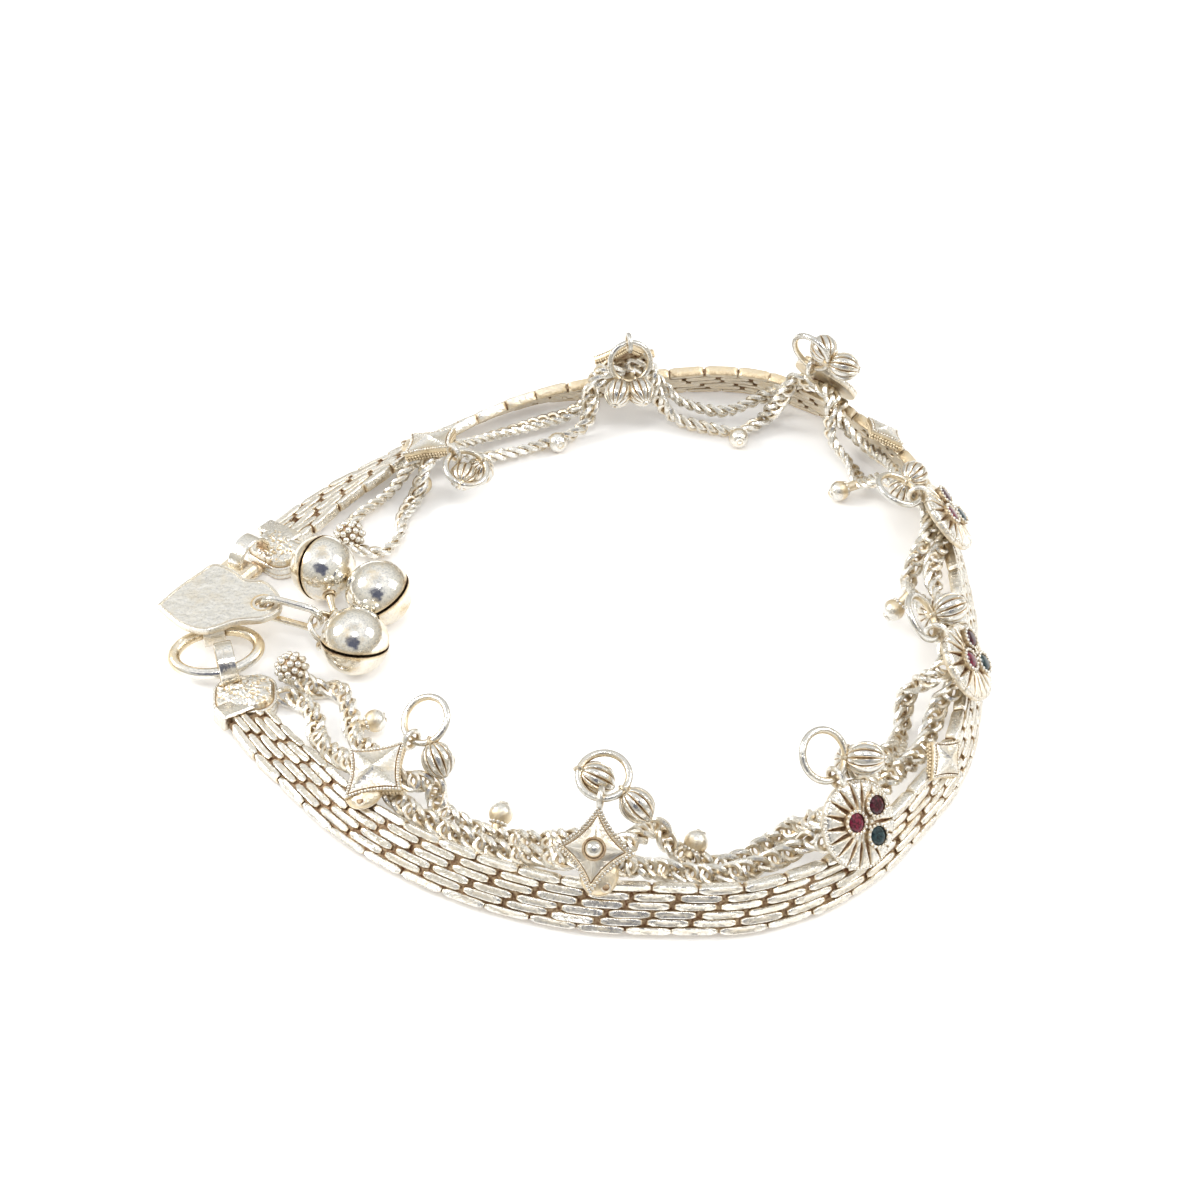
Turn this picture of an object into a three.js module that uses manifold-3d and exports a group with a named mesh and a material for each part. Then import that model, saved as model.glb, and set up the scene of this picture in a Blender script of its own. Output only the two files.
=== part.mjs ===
// Filigree anklet: a brick-mesh band with motifs, rope-chain swags, drops, bells and a heart-shaped hook.
// Millimetres, +Z up. The anklet lies on the XY plane as a low cone: the band's outer edge rests on it.

import * as THREE from 'three';
import * as BufferGeometryUtils from 'three/addons/utils/BufferGeometryUtils.js';
import Module from 'manifold-3d';

const wasm = await Module();
wasm.setup();

const GAP = 0.3; // between pieces that touch on the real anklet
const SINK = 0.3; // how far a soldered piece sinks into the one it is soldered to
const UP = new THREE.Vector3(0, 0, 1);

const BAND = { width: 4.8, thick: 1.3, corner: 0.35, steps: 44 };
const ROPE = { radius: 0.85, sides: 8 };
const BALL_RADIUS = 1.15;
const CLUSTER_RADIUS = 1.8;
const DIAMOND = { halfLong: 3.95, halfWide: 3.6, thick: 0.6, ridge: 0.8, pull: 0.72 };
const SMALL_DIAMOND = { halfLong: 2.2, halfWide: 3.0, thick: 0.5, ridge: 0.6, pull: 0.8 };
const BOSS_RADIUS = 0.85;
const FAN = { halfLong: 4.1, halfWide: 3.95, thick: 0.6, dome: 0.7, flutes: 12, fluteDepth: 0.07 };
const BEZEL = { radius: 1.2, top: 1.6, low: 0.1, ring: 1.6, aside: 0.7, firstDegrees: 156, sides: 6 };
const FOOT = { halfWide: 1.7, halfLong: 1.9, halfHigh: 0.8, lift: 0.4, low: 0.2 };
const EYE = { radius: 0.95, wire: 0.28 };
const DROP_RING = { radius: 2.3, wire: 0.32 };
const BEAD = { radius: 1.6, halfLength: 1.75, flutes: 5, fluteDepth: 0.14, reach: 1.85 };
const CAP = { halfAcross: 3.2, halfAlong: 2.6, corner: 1.8, wall: 1.4, shoulder: 2.0, brow: 2.3, top: 2.4 };
const NECK = { long: 2.1, wide: 5.2, high: 1.9, over: -0.3, lift: 0.05, roomLong: 6, roomExtra: 3 * GAP };
const FLAT_RING = { radius: 2.5, wall: 0.45, width: 1.8 };
const CLASP_RING = { radius: 2.8, wire: 0.58, stretch: 1.54 };
const HEART = { thick: 0.8, low: 3.6, hole: 0.95 };
const CLAW = {
  radius: 1.55, wall: 0.58, width: 2.2, fromDegrees: 80, toDegrees: 320, riserLong: 1.6, riserHigh: 0.6,
};
const TONGUE = { wide: 3.6, long: 5.8, thick: 1.2, along: 3.5, height: 2.2 };
const TONGUE_RISER = { wide: 2.4, long: 1.4, thick: 1.2, along: 5.7, height: 3.2 };
const TAG_RING = { radius: 1.4, straight: 1.7, wire: 0.4 };
const BELL_RING = { radius: 1.8, wire: 0.3, dip: 0.6 };
const BELL = { radius: 3.5, wall: 0.45, slit: 0.55, slitReach: 5, neck: 0.4, eyeRadius: 0.85, eyeWire: 0.26 };

const SILVER = { color: 0xd9d2c6, roughness: 0.32, metalness: 1 };

// The band's centre line in plan from the front cap round to the back cap, and its tilt from flat in degrees.
const BAND_ROUTE = [
  // x, y, tilt
  [-31.5, -16.3, -10],
  [-26.5, -22.2, 6],
  [-19.1, -30.4, 32],
  [-9.8, -36.5, 48],
  [-0.2, -40.0, 58],
  [8.3, -40.9, 61],
  [17.3, -40.6, 63],
  [25.7, -36.9, 64],
  [32.9, -29.7, 65],
  [38.0, -21.8, 66],
  [40.5, -12.3, 65],
  [41.4, -1.5, 63],
  [41.2, 9.0, 63],
  [39.5, 19.2, 64],
  [34.9, 27.2, 65],
  [29.3, 33.3, 65],
  [21.5, 37.7, 63],
  [12.5, 38.0, 61],
  [3.4, 36.6, 56],
  [-4.9, 34.6, 46],
  [-12.9, 29.5, 40],
  [-19.7, 23.9, 28],
  [-25.8, 18.1, 17],
  [-30.7, 12.2, 8],
];

// Each motif's place: distance along the band, rise of its centre from the band's middle, lean beyond the tilt.
const MOTIFS = {
  diamond_1: { kind: 'diamond', along: 17.2, rise: 4.8, lean: -15 },
  boss_diamond_1: { kind: 'boss', along: 43.1, rise: 5.5, lean: -24 },
  fan_1: { kind: 'fan', along: 69.0, rise: 4.5, lean: -12 },
  small_diamond_1: { kind: 'small', along: 82.5, rise: 2.4, lean: -20 },
  fan_2: { kind: 'fan', along: 94.5, rise: 4.4, lean: -15 },
  fan_3: { kind: 'fan', along: 116.7, rise: 4.4, lean: -15 },
  small_diamond_2: { kind: 'small', along: 134.5, rise: 3.6, lean: -40 },
  fan_4: { kind: 'fan', along: 145.0, rise: 4.2, lean: -12 },
  boss_diamond_2: { kind: 'boss', along: 170.5, rise: 5.0, lean: 0 },
  diamond_2: { kind: 'diamond', along: 198.0, rise: 5.0, lean: -12 },
};

class BandRoute extends THREE.CatmullRomCurve3 {
  constructor(rows) {
    super(rows.map(([x, y]) => new THREE.Vector3(x, y, 0)), false, 'catmullrom');
    this.tilts = new THREE.CatmullRomCurve3(
      rows.map(([, , tilt]) => new THREE.Vector3(THREE.MathUtils.degToRad(tilt), 0, 0)), false, 'catmullrom');
  }

  // A point of the middle line, raised so that the strap's lowest corner touches the ground.
  getPoint(t, target = new THREE.Vector3()) {
    super.getPoint(t, target);
    const tilt = this.tilts.getPoint(t).x;
    target.z = (BAND.width / 2) * Math.abs(Math.sin(tilt)) + (BAND.thick / 2) * Math.cos(tilt);
    return target;
  }

  // Unit directions at a share of the length: along the band, across it to its inner edge, out of its face.
  frameAt(u) {
    const t = this.getUtoTmapping(u);
    const tilt = this.tilts.getPoint(t).x;
    const along = this.getTangent(t).setZ(0).normalize();
    const outward = new THREE.Vector3(along.y, -along.x, 0);
    const across = outward.clone().multiplyScalar(-Math.cos(tilt)).addScaledVector(UP, Math.sin(tilt));
    const face = outward.clone().multiplyScalar(Math.sin(tilt)).addScaledVector(UP, Math.cos(tilt));
    return { centre: this.getPoint(t), along, across, face };
  }

  computeFrenetFrames(steps) {
    const frames = Array.from({ length: steps + 1 }, (_, i) => this.frameAt(i / steps));
    return {
      tangents: frames.map((frame) => frame.along),
      normals: frames.map((frame) => frame.across),
      binormals: frames.map((frame) => frame.face),
    };
  }
}

const bandRoute = new BandRoute(BAND_ROUTE);
const bandLength = bandRoute.getLength();

// ---- helpers -------------------------------------------------------------------------------------------

function toSolid(geometry) {
  const bare = geometry.clone();
  bare.deleteAttribute('normal');
  bare.deleteAttribute('uv');
  const merged = BufferGeometryUtils.mergeVertices(bare, 1e-4);
  return new wasm.Manifold(new wasm.Mesh({
    numProp: 3,
    vertProperties: new Float32Array(merged.attributes.position.array),
    triVerts: new Uint32Array(merged.index.array),
  }));
}

function toGeometry(solid) {
  const mesh = solid.getMesh();
  const geometry = new THREE.BufferGeometry();
  geometry.setAttribute('position', new THREE.BufferAttribute(new Float32Array(mesh.vertProperties), 3));
  geometry.setIndex(new THREE.BufferAttribute(new Uint32Array(mesh.triVerts), 1));
  geometry.computeVertexNormals();
  return geometry;
}

function joined(...geometries) {
  return toGeometry(geometries.map(toSolid).reduce((whole, piece) => whole.add(piece)));
}

function cut(geometry, ...cutters) {
  return toGeometry(cutters.map(toSolid).reduce((whole, piece) => whole.subtract(piece), toSolid(geometry)));
}

function moved(geometry, x, y, z) {
  return geometry.clone().translate(x, y, z);
}

// A matrix whose X, Y and Z axes are the given unit directions, at a place.
function frameMatrix(xAxis, yAxis, zAxis, place) {
  return new THREE.Matrix4().makeBasis(xAxis, yAxis, zAxis).setPosition(place);
}

// Turns a geometry's +Z to a direction.
function aimed(geometry, direction) {
  const turn = new THREE.Quaternion().setFromUnitVectors(UP, direction.clone().normalize());
  return geometry.clone().applyQuaternion(turn);
}

function rod(from, to, radius, sides = 6) {
  const span = to.clone().sub(from);
  const geometry = new THREE.CylinderGeometry(radius, radius, span.length(), sides).rotateX(Math.PI / 2);
  const middle = from.clone().add(to).multiplyScalar(0.5);
  return aimed(geometry, span).translate(middle.x, middle.y, middle.z);
}

// A closed body whose level sections are one outline, scaled about the origin, with a peak over the last.
function stacked(outline, levels, peak) {
  const count = outline.length;
  const rings = levels.map(([scale, z]) => outline.map((point) => [point.x * scale, point.y * scale, z]));
  const base = levels.length * count;
  const positions = [...rings.flat(), [0, 0, levels[0][1]], [0, 0, peak]];
  const faces = outline.flatMap((_, i) => {
    const next = (i + 1) % count;
    const walls = levels.slice(1).flatMap((level, row) => {
      const [low, high] = [row * count, (row + 1) * count];
      return [low + i, low + next, high + next, low + i, high + next, high + i];
    });
    const last = base - count;
    return [...walls, next, i, base, last + i, last + next, base + 1];
  });
  const geometry = new THREE.BufferGeometry();
  geometry.setAttribute('position', new THREE.Float32BufferAttribute(positions.flat(), 3));
  geometry.setIndex(faces);
  geometry.computeVertexNormals();
  return geometry;
}

function flatPlate(outline, thick) {
  return new THREE.ExtrudeGeometry(new THREE.Shape(outline), { depth: thick, bevelEnabled: false });
}

// ---- the band ------------------------------------------------------------------------------------------

function bandStrap() {
  const halfWidth = BAND.width / 2;
  const halfThick = BAND.thick / 2;
  const c = BAND.corner;
  const section = new THREE.Shape([
    new THREE.Vector2(halfWidth - c, -halfThick),
    new THREE.Vector2(halfWidth, -halfThick + c),
    new THREE.Vector2(halfWidth, halfThick - c),
    new THREE.Vector2(halfWidth - c, halfThick),
    new THREE.Vector2(-halfWidth + c, halfThick),
    new THREE.Vector2(-halfWidth, halfThick - c),
    new THREE.Vector2(-halfWidth, -halfThick + c),
    new THREE.Vector2(-halfWidth + c, -halfThick),
  ]);
  return new THREE.ExtrudeGeometry(section, { steps: BAND.steps, extrudePath: bandRoute });
}

// ---- motifs, in their own frame: X along the band, Y up the motif, Z out of its face, back at Z = 0 ----

function concaveDiamond({ halfLong, halfWide, pull }) {
  const corners = [[halfWide, 0], [0, halfLong], [-halfWide, 0], [0, -halfLong]];
  const shape = new THREE.Shape();
  shape.moveTo(...corners[0]);
  corners.forEach(([x, y], i) => {
    const [nextX, nextY] = corners[(i + 1) % corners.length];
    shape.quadraticCurveTo(((x + nextX) / 2) * pull, ((y + nextY) / 2) * pull, nextX, nextY);
  });
  return shape.getPoints(3).slice(0, -1);
}

function fanOutline() {
  return Array.from({ length: FAN.flutes * 2 }, (_, i) => {
    const angle = (i * Math.PI) / FAN.flutes;
    const reach = 1 - (i % 2) * FAN.fluteDepth;
    return new THREE.Vector2(FAN.halfWide * reach * Math.cos(angle), FAN.halfLong * reach * Math.sin(angle));
  });
}

// A flat rim round a low four-sided roof.
function diamondPlate(size) {
  const levels = [[1, 0], [1, size.thick], [0.86, size.thick]];
  return stacked(concaveDiamond(size), levels, size.thick + size.ridge);
}

function bossDiamondPlate() {
  const boss = new THREE.SphereGeometry(BOSS_RADIUS, 8, 4);
  return joined(diamondPlate(DIAMOND), moved(boss, 0, 0, DIAMOND.thick + DIAMOND.ridge - SINK));
}

// Three bezels stand near the fan's middle, round a point a little to one side of it.
function bezelPlaces() {
  return [0, 120, 240].map((degrees) => {
    const angle = THREE.MathUtils.degToRad(BEZEL.firstDegrees + degrees);
    return [BEZEL.aside + BEZEL.ring * Math.cos(angle), BEZEL.ring * Math.sin(angle)];
  });
}

function fanPlate() {
  const plate = stacked(fanOutline(), [[1, 0], [1, FAN.thick]], FAN.thick + FAN.dome);
  const { radius, top, low, sides } = BEZEL;
  const bezels = bezelPlaces().map(([x, y]) => {
    const bezel = new THREE.CylinderGeometry(radius, radius, top - low, sides).rotateX(Math.PI / 2);
    return moved(bezel, x, y, (top + low) / 2);
  });
  return joined(plate, ...bezels);
}

// The curved sheet that carries a motif off the band's face.
function motifFoot(halfLong) {
  const foot = new THREE.SphereGeometry(1, 6, 4).scale(FOOT.halfWide, FOOT.halfLong, FOOT.halfHigh);
  return moved(foot, 0, FOOT.halfLong - halfLong - SINK, -FOOT.low);
}

function eyeHeight(halfLong) {
  return halfLong + EYE.radius - SINK;
}

function motifEye(halfLong) {
  const eye = new THREE.TorusGeometry(EYE.radius, EYE.wire, 4, 7).rotateY(Math.PI / 2);
  return moved(eye, 0, eyeHeight(halfLong), 0);
}

const MOTIF_KINDS = {
  diamond: { plate: () => diamondPlate(DIAMOND), halfLong: DIAMOND.halfLong, footed: true },
  boss: { plate: bossDiamondPlate, halfLong: DIAMOND.halfLong, footed: true },
  fan: { plate: fanPlate, halfLong: FAN.halfLong, footed: true },
  small: { plate: () => diamondPlate(SMALL_DIAMOND), halfLong: SMALL_DIAMOND.halfLong, footed: false },
};

const HINGE = 2.0; // a motif leans about this line, just inside the band's inner edge

function motifMatrix({ kind, along, rise, lean }) {
  const { centre, along: xAxis, across, face } = bandRoute.frameAt(along / bandLength);
  const { halfLong, footed } = MOTIF_KINDS[kind];
  const angle = THREE.MathUtils.degToRad(lean);
  const yAxis = across.clone().multiplyScalar(Math.cos(angle)).addScaledVector(face, Math.sin(angle));
  const zAxis = face.clone().multiplyScalar(Math.cos(angle)).addScaledVector(across, -Math.sin(angle));
  const below = halfLong - (rise - HINGE);
  const lift = BAND.thick / 2 + GAP + below * Math.max(Math.sin(angle), 0) + (footed ? FOOT.lift : 0);
  const place = centre.clone().addScaledVector(across, HINGE).addScaledVector(face, lift)
    .addScaledVector(yAxis, rise - HINGE);
  return frameMatrix(xAxis, yAxis, zAxis, place);
}

// The band's own room at a motif, which the motif's foot stops short of.
function bandRoom({ along }) {
  const { centre, along: xAxis, across, face } = bandRoute.frameAt(along / bandLength);
  const long = 4 * DIAMOND.halfWide;
  const room = new THREE.BoxGeometry(long, BAND.width + 2 * GAP, BAND.thick + 2 * GAP);
  return room.applyMatrix4(frameMatrix(xAxis, across, face, centre));
}

function motif(place) {
  const { plate, halfLong, footed } = MOTIF_KINDS[place.kind];
  const pieces = footed ? [plate(), motifFoot(halfLong), motifEye(halfLong)] : [plate()];
  return cut(joined(...pieces).applyMatrix4(motifMatrix(place)), bandRoom(place));
}

function onMotif(name, x, y, z) {
  return new THREE.Vector3(x, y, z).applyMatrix4(motifMatrix(MOTIFS[name]));
}

// ---- swags: rope chain hung in two tiers between the motifs, with a ball under each inner one ----------

// Where the swags meet a motif's back, in the motif's frame; the left corner has -x.
const CORNERS = {
  diamond: { inner: [2.0, 1.4, -1.25], outer: [2.6, -0.4, -1.25] },
  boss: { inner: [2.5, 0.9, -1.25], outer: [2.6, -1.0, -1.25] },
  fan: { inner: [2.2, 1.8, -1.25], outer: [2.6, -0.4, -1.25] },
};

// Each route is laid by hand from the front cap round to the back cap. A name stands for that motif's corner.
const INNER_SWAGS = [
  { to: 'diamond_1', steps: 5, cluster: [-27.8, -10.2, 2.0], ball: [-18.8, -17.1, 1.6],
    route: [[-27.2, -11.0, 1.8], [-25.5, -12.0, 1.0], [-23.0, -12.2, 0.9], [-21.7, -14.7, 0.9],
      [-21.0, -17.7, 1.2], [-19.9, -21.0, 2.7]] },
  { from: 'diamond_1', to: 'boss_diamond_1', steps: 6, ball: [-5.9, -29.5, 2.0],
    route: [[-12.1, -26.8, 3.0], [-12.0, -28.2, 1.8], [-8.8, -30.4, 1.0], [-5.9, -31.6, 1.0], [-1.6, -33.6, 3.0]] },
  { from: 'boss_diamond_1', to: 'fan_1', steps: 6, ball: [12.3, -32.9, 2.0],
    route: [[8.7, -32.5, 3.5], [10.4, -33.5, 1.5], [14.6, -34.9, 1.0], [19.2, -32.5, 1.4], [21.6, -32.6, 4.2]] },
  { from: 'fan_1', to: 'fan_2', steps: 6,
    route: [[30.3, -25.0, 5.0], [32.0, -21.6, 2.5], [33.2, -17.7, 1.2], [33.9, -14.8, 3.0]] },
  { from: 'fan_2', to: 'fan_3', steps: 5, ball: [34.0, -2.1, 2.5],
    route: [[36.2, -2.0, 4.5], [35.8, 1.2, 3.2]] },
  { from: 'fan_3', to: 'fan_4', steps: 6, ball: [30.3, 18.8, 1.2],
    route: [[34.8, 16.1, 5.0], [33.0, 20.0, 1.5], [32.0, 23.6, 1.2], [30.0, 26.4, 2.8]] },
  { from: 'fan_4', to: 'boss_diamond_2', steps: 6, ball: [19.5, 28.4, 1.2],
    route: [[24.0, 31.0, 4.2], [22.6, 31.8, 1.4], [19.6, 30.2, 0.9], [15.2, 31.0, 0.9], [12.0, 32.2, 1.4],
      [9.9, 32.8, 4.4]] },
  { from: 'boss_diamond_2', to: 'diamond_2', steps: 6, ball: [-1.5, 27.6, 1.2],
    route: [[2.4, 32.4, 6.0], [2.2, 31.0, 3.0], [1.0, 29.8, 1.4], [-4.1, 27.1, 1.0], [-10.4, 24.5, 1.5]] },
  { from: 'diamond_2', steps: 5, cluster: [-23.9, 10.3, 2.0], ball: [-16.7, 20.0, 1.2],
    route: [[-17.2, 18.1, 1.2], [-18.4, 14.8, 0.9], [-18.9, 11.1, 0.9], [-20.6, 8.8, 0.9], [-23.0, 8.9, 1.2]] },
];

const OUTER_SWAGS = [
  { to: 'diamond_1', steps: 5,
    route: [[-28.1, -13.1, 1.0], [-26.1, -14.2, 0.9], [-24.9, -16.1, 0.9], [-24.5, -18.3, 0.9],
      [-23.2, -20.4, 1.2], [-21.8, -22.6, 2.4]] },
  { from: 'diamond_1', to: 'boss_diamond_1', steps: 6,
    route: [[-14.1, -29.8, 2.6], [-9.9, -32.2, 2.2], [-4.8, -34.8, 2.6], [-2.1, -36.1, 3.9]] },
  { from: 'boss_diamond_1', to: 'fan_1', steps: 6,
    route: [[9.0, -37.0, 3.0], [14.3, -37.4, 2.8], [20.2, -35.5, 3.2], [22.5, -34.9, 4.7]] },
  { from: 'fan_1', to: 'fan_2', steps: 6,
    route: [[30.4, -27.4, 4.4], [34.0, -22.8, 3.0], [35.9, -18.8, 3.2], [36.9, -17.0, 4.8]] },
  { from: 'fan_2', to: 'fan_3', steps: 5,
    route: [[38.6, -5.0, 5.2], [38.2, -1.0, 4.4], [38.4, 2.6, 4.8]] },
  { from: 'fan_3', to: 'fan_4', steps: 6,
    route: [[37.0, 15.6, 5.2], [36.0, 20.4, 3.7], [34.2, 23.9, 3.0], [32.0, 26.6, 3.6],
      [30.6, 27.8, 5.0]] },
  { from: 'fan_4', to: 'boss_diamond_2', steps: 6,
    route: [[25.0, 32.9, 4.9], [22.6, 34.2, 2.8], [18.1, 32.9, 1.7], [12.9, 34.2, 2.2], [10.6, 34.5, 4.6]] },
  { from: 'boss_diamond_2', to: 'diamond_2', steps: 6,
    route: [[2.2, 33.2, 4.2], [0.0, 32.5, 1.8], [-3.8, 30.9, 1.5], [-7.9, 29.0, 1.5], [-11.8, 25.8, 2.6]] },
  { from: 'diamond_2', steps: 5,
    route: [[-20.2, 18.4, 1.4], [-21.9, 16.7, 1.0], [-23.3, 15.0, 1.0], [-24.2, 12.8, 1.1]] },
];

function cornerOf(name, tier, side) {
  const [x, y, z] = CORNERS[MOTIFS[name].kind][tier];
  return onMotif(name, side * x, y, z);
}

function swagPoints({ from, to, route }, tier) {
  const points = route.map(([x, y, z]) => new THREE.Vector3(x, y, z));
  if (from) {
    points.unshift(cornerOf(from, tier, 1));
  }
  if (to) {
    points.push(cornerOf(to, tier, -1));
  }
  return points;
}

function ropeTube(points, steps) {
  const section = new THREE.Shape();
  for (let i = 0; i < ROPE.sides; i += 1) {
    const angle = (i * 2 * Math.PI) / ROPE.sides;
    const corner = [ROPE.radius * Math.cos(angle), ROPE.radius * Math.sin(angle)];
    if (i === 0) {
      section.moveTo(...corner);
    } else {
      section.lineTo(...corner);
    }
  }
  return new THREE.ExtrudeGeometry(section, { steps, extrudePath: new THREE.CatmullRomCurve3(points) });
}

function sphereAt(place, radius, across, rings) {
  return moved(new THREE.SphereGeometry(radius, across, rings), ...place);
}

// A ball and the short wire that joins it to the nearest point of its swag.
function hungBall(place, points) {
  const centre = new THREE.Vector3(...place);
  const samples = new THREE.CatmullRomCurve3(points).getPoints(60);
  const nearest = samples.reduce((best, point) => (
    point.distanceTo(centre) < best.distanceTo(centre) ? point : best));
  return joined(sphereAt(place, BALL_RADIUS, 7, 4), rod(centre, nearest, BALL_RADIUS / 2, 4));
}

function swag(row, tier) {
  const points = swagPoints(row, tier);
  const pieces = [ropeTube(points, row.steps)];
  if (row.ball) {
    pieces.push(hungBall(row.ball, points));
  }
  if (row.cluster) {
    pieces.push(sphereAt(row.cluster, CLUSTER_RADIUS, 8, 5));
  }
  return joined(...pieces);
}

// ---- drops: a ring through a motif's eye, with fluted beads ----------------------------------------------

// The way each ring hangs from its eye, and roughly where its beads lie.
const DROPS = {
  drop_1: { on: 'diamond_1', hang: [0.58, 0.6, 0.55], beads: [[-11.9, -25.3, 4.9]] },
  drop_2: { on: 'boss_diamond_1', hang: [0.13, 0.96, 0.26], beads: [[3.1, -31.5, 9.2], [6.7, -34.1, 8.6]] },
  drop_3: { on: 'fan_1', hang: [-0.47, 0.55, 0.69], beads: [[26.2, -29.9, 9.8], [27.3, -31.2, 11.6]] },
  drop_4: { on: 'fan_2', hang: [-0.66, 0.12, 0.74], beads: [[38.4, -10.8, 11.3], [36.5, -9.5, 8.8]] },
  drop_5: { on: 'fan_3', hang: [-0.93, -0.07, 0.36], beads: [[36.5, 10.4, 10.1], [35.6, 10.1, 8.4]] },
  drop_6: { on: 'fan_4', hang: [-0.15, -0.17, 0.97], beads: [[28.6, 29.8, 12.8], [30.8, 27.7, 11.9]] },
  drop_7: { on: 'boss_diamond_2', hang: [-0.05, -0.35, -0.92], beads: [[5.5, 30.0, 6.6], [8.2, 29.8, 6.5]] },
  drop_8: { on: 'diamond_2', hang: [0.62, -0.71, -0.35], beads: [[-10.0, 19.2, 3.8], [-11.7, 17.0, 4.8]] },
};

function flutedBead() {
  const bead = new THREE.SphereGeometry(BEAD.radius, BEAD.flutes * 2, 4);
  const position = bead.attributes.position;
  for (let i = 0; i < position.count; i += 1) {
    const [x, y, z] = [position.getX(i), position.getY(i), position.getZ(i)];
    const turn = Math.round((Math.atan2(z, x) * BEAD.flutes) / Math.PI);
    const reach = turn % 2 === 0 ? 1 : 1 - BEAD.fluteDepth;
    position.setXYZ(i, x * reach, (y * BEAD.halfLength) / BEAD.radius, z * reach);
  }
  return bead.rotateX(Math.PI / 2);
}

function drop({ on, hang, beads }) {
  const { halfLong } = MOTIF_KINDS[MOTIFS[on].kind];
  const eye = onMotif(on, 0, eyeHeight(halfLong), 0);
  const eyeAxis = onMotif(on, 1, eyeHeight(halfLong), 0).sub(eye);
  const toRing = new THREE.Vector3(...hang);
  toRing.addScaledVector(eyeAxis, -toRing.dot(eyeAxis)).normalize();
  const ringAxis = new THREE.Vector3().crossVectors(toRing, eyeAxis);
  const ringCentre = eye.clone().addScaledVector(toRing, DROP_RING.radius);
  const ring = new THREE.TorusGeometry(DROP_RING.radius, DROP_RING.wire, 4, 9);
  const pieces = [ring.applyMatrix4(frameMatrix(toRing, eyeAxis, ringAxis, ringCentre))];
  for (const bead of beads) {
    const rough = new THREE.Vector3(...bead).sub(ringCentre);
    const flat = rough.clone().addScaledVector(ringAxis, -rough.dot(ringAxis));
    const root = ringCentre.clone().addScaledVector(flat.normalize(), DROP_RING.radius);
    const outward = new THREE.Vector3(...bead).sub(root).normalize();
    const centre = root.addScaledVector(outward, BEAD.reach);
    pieces.push(aimed(flutedBead(), outward).translate(centre.x, centre.y, centre.z));
  }
  return joined(...pieces);
}

// ---- the clasp: two caps with a flat ring through each, an oval ring, and the heart-shaped hook ----------

// A cap's X runs across it, its Y towards the clasp. Its ring stands aside of its middle by the shift.
const CAPS = {
  front: { place: [-32.2, -13.3], toClasp: [-0.12, 0.99], bandEnd: 0, ring: [-34.3, -10.3], ringTo: [-0.3, 0.95] },
  back: { place: [-31.6, 8.6], toClasp: [-0.62, -0.79], bandEnd: 1, ring: [-34.2, 6.2], ringTo: [-0.55, -0.84] },
};

// An upright frame in plan: Y towards a direction, Z up.
function planMatrix([x, y], [toX, toY], height = 0) {
  const yAxis = new THREE.Vector3(toX, toY, 0).normalize();
  const xAxis = new THREE.Vector3(yAxis.y, -yAxis.x, 0);
  return frameMatrix(xAxis, yAxis, UP, new THREE.Vector3(x, y, height));
}

function roundedOutline(halfX, halfY, corner) {
  const shape = new THREE.Shape();
  shape.absarc(halfX - corner, halfY - corner, corner, 0, Math.PI / 2, false);
  shape.absarc(corner - halfX, halfY - corner, corner, Math.PI / 2, Math.PI, false);
  shape.absarc(corner - halfX, corner - halfY, corner, Math.PI, Math.PI * 1.5, false);
  shape.absarc(halfX - corner, corner - halfY, corner, Math.PI * 1.5, Math.PI * 2, false);
  return shape.getPoints(3);
}

function flatRing(clearance = 0) {
  const inner = FLAT_RING.radius - FLAT_RING.wall - clearance;
  const outer = FLAT_RING.radius + clearance;
  const half = FLAT_RING.width / 2 + clearance;
  const section = [[inner, -half], [outer, -half], [outer, half], [inner, half], [inner, -half]];
  const ring = new THREE.LatheGeometry(section.map(([x, y]) => new THREE.Vector2(x, y)), 14);
  return ring.rotateZ(Math.PI / 2);
}

// The flat ring stands on edge with its axis across the way it reaches.
function capRing({ ring, ringTo }, clearance = 0) {
  return flatRing(clearance).applyMatrix4(planMatrix(ring, ringTo, FLAT_RING.radius));
}

// The band's end: X runs into the band from it, Z out of the band's face.
function bandEndMatrix(bandEnd) {
  const { centre, along, across, face } = bandRoute.frameAt(bandEnd);
  const side = bandEnd === 0 ? 1 : -1;
  return frameMatrix(along.clone().multiplyScalar(side), across.clone().multiplyScalar(side), face, centre);
}

// A cushion on a wall, with a neck over the band's end and a slot that its flat ring passes through.
function cap(row) {
  const levels = [[1, 0], [1, CAP.wall], [0.84, CAP.shoulder], [0.5, CAP.brow]];
  const cushion = stacked(roundedOutline(CAP.halfAcross, CAP.halfAlong, CAP.corner), levels, CAP.top)
    .applyMatrix4(planMatrix(row.place, row.toClasp));
  const end = bandEndMatrix(row.bandEnd);
  const { long, wide, high, over, lift, roomLong, roomExtra } = NECK;
  const neck = moved(new THREE.BoxGeometry(long, wide, high), over - long / 2, 0, lift).applyMatrix4(end);
  const room = new THREE.BoxGeometry(roomLong, BAND.width + roomExtra, BAND.thick + roomExtra);
  const bandRoomHere = moved(room, roomLong / 2 - GAP, 0, 0).applyMatrix4(end);
  const ground = moved(new THREE.BoxGeometry(20, 20, 4), row.place[0], row.place[1], -2);
  return cut(joined(cushion, neck), bandRoomHere, ground, capRing(row, GAP));
}

// The oval ring lies with its near wire inside the front flat ring and its far wire in the hook's claw.
const CLASP_RING_PLACE = new THREE.Vector3(-35.8, -7.7, 1.9);
const CLASP_RING_TO_HOOK = new THREE.Vector3(-0.23, 0.97, 0.12).normalize();

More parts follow.
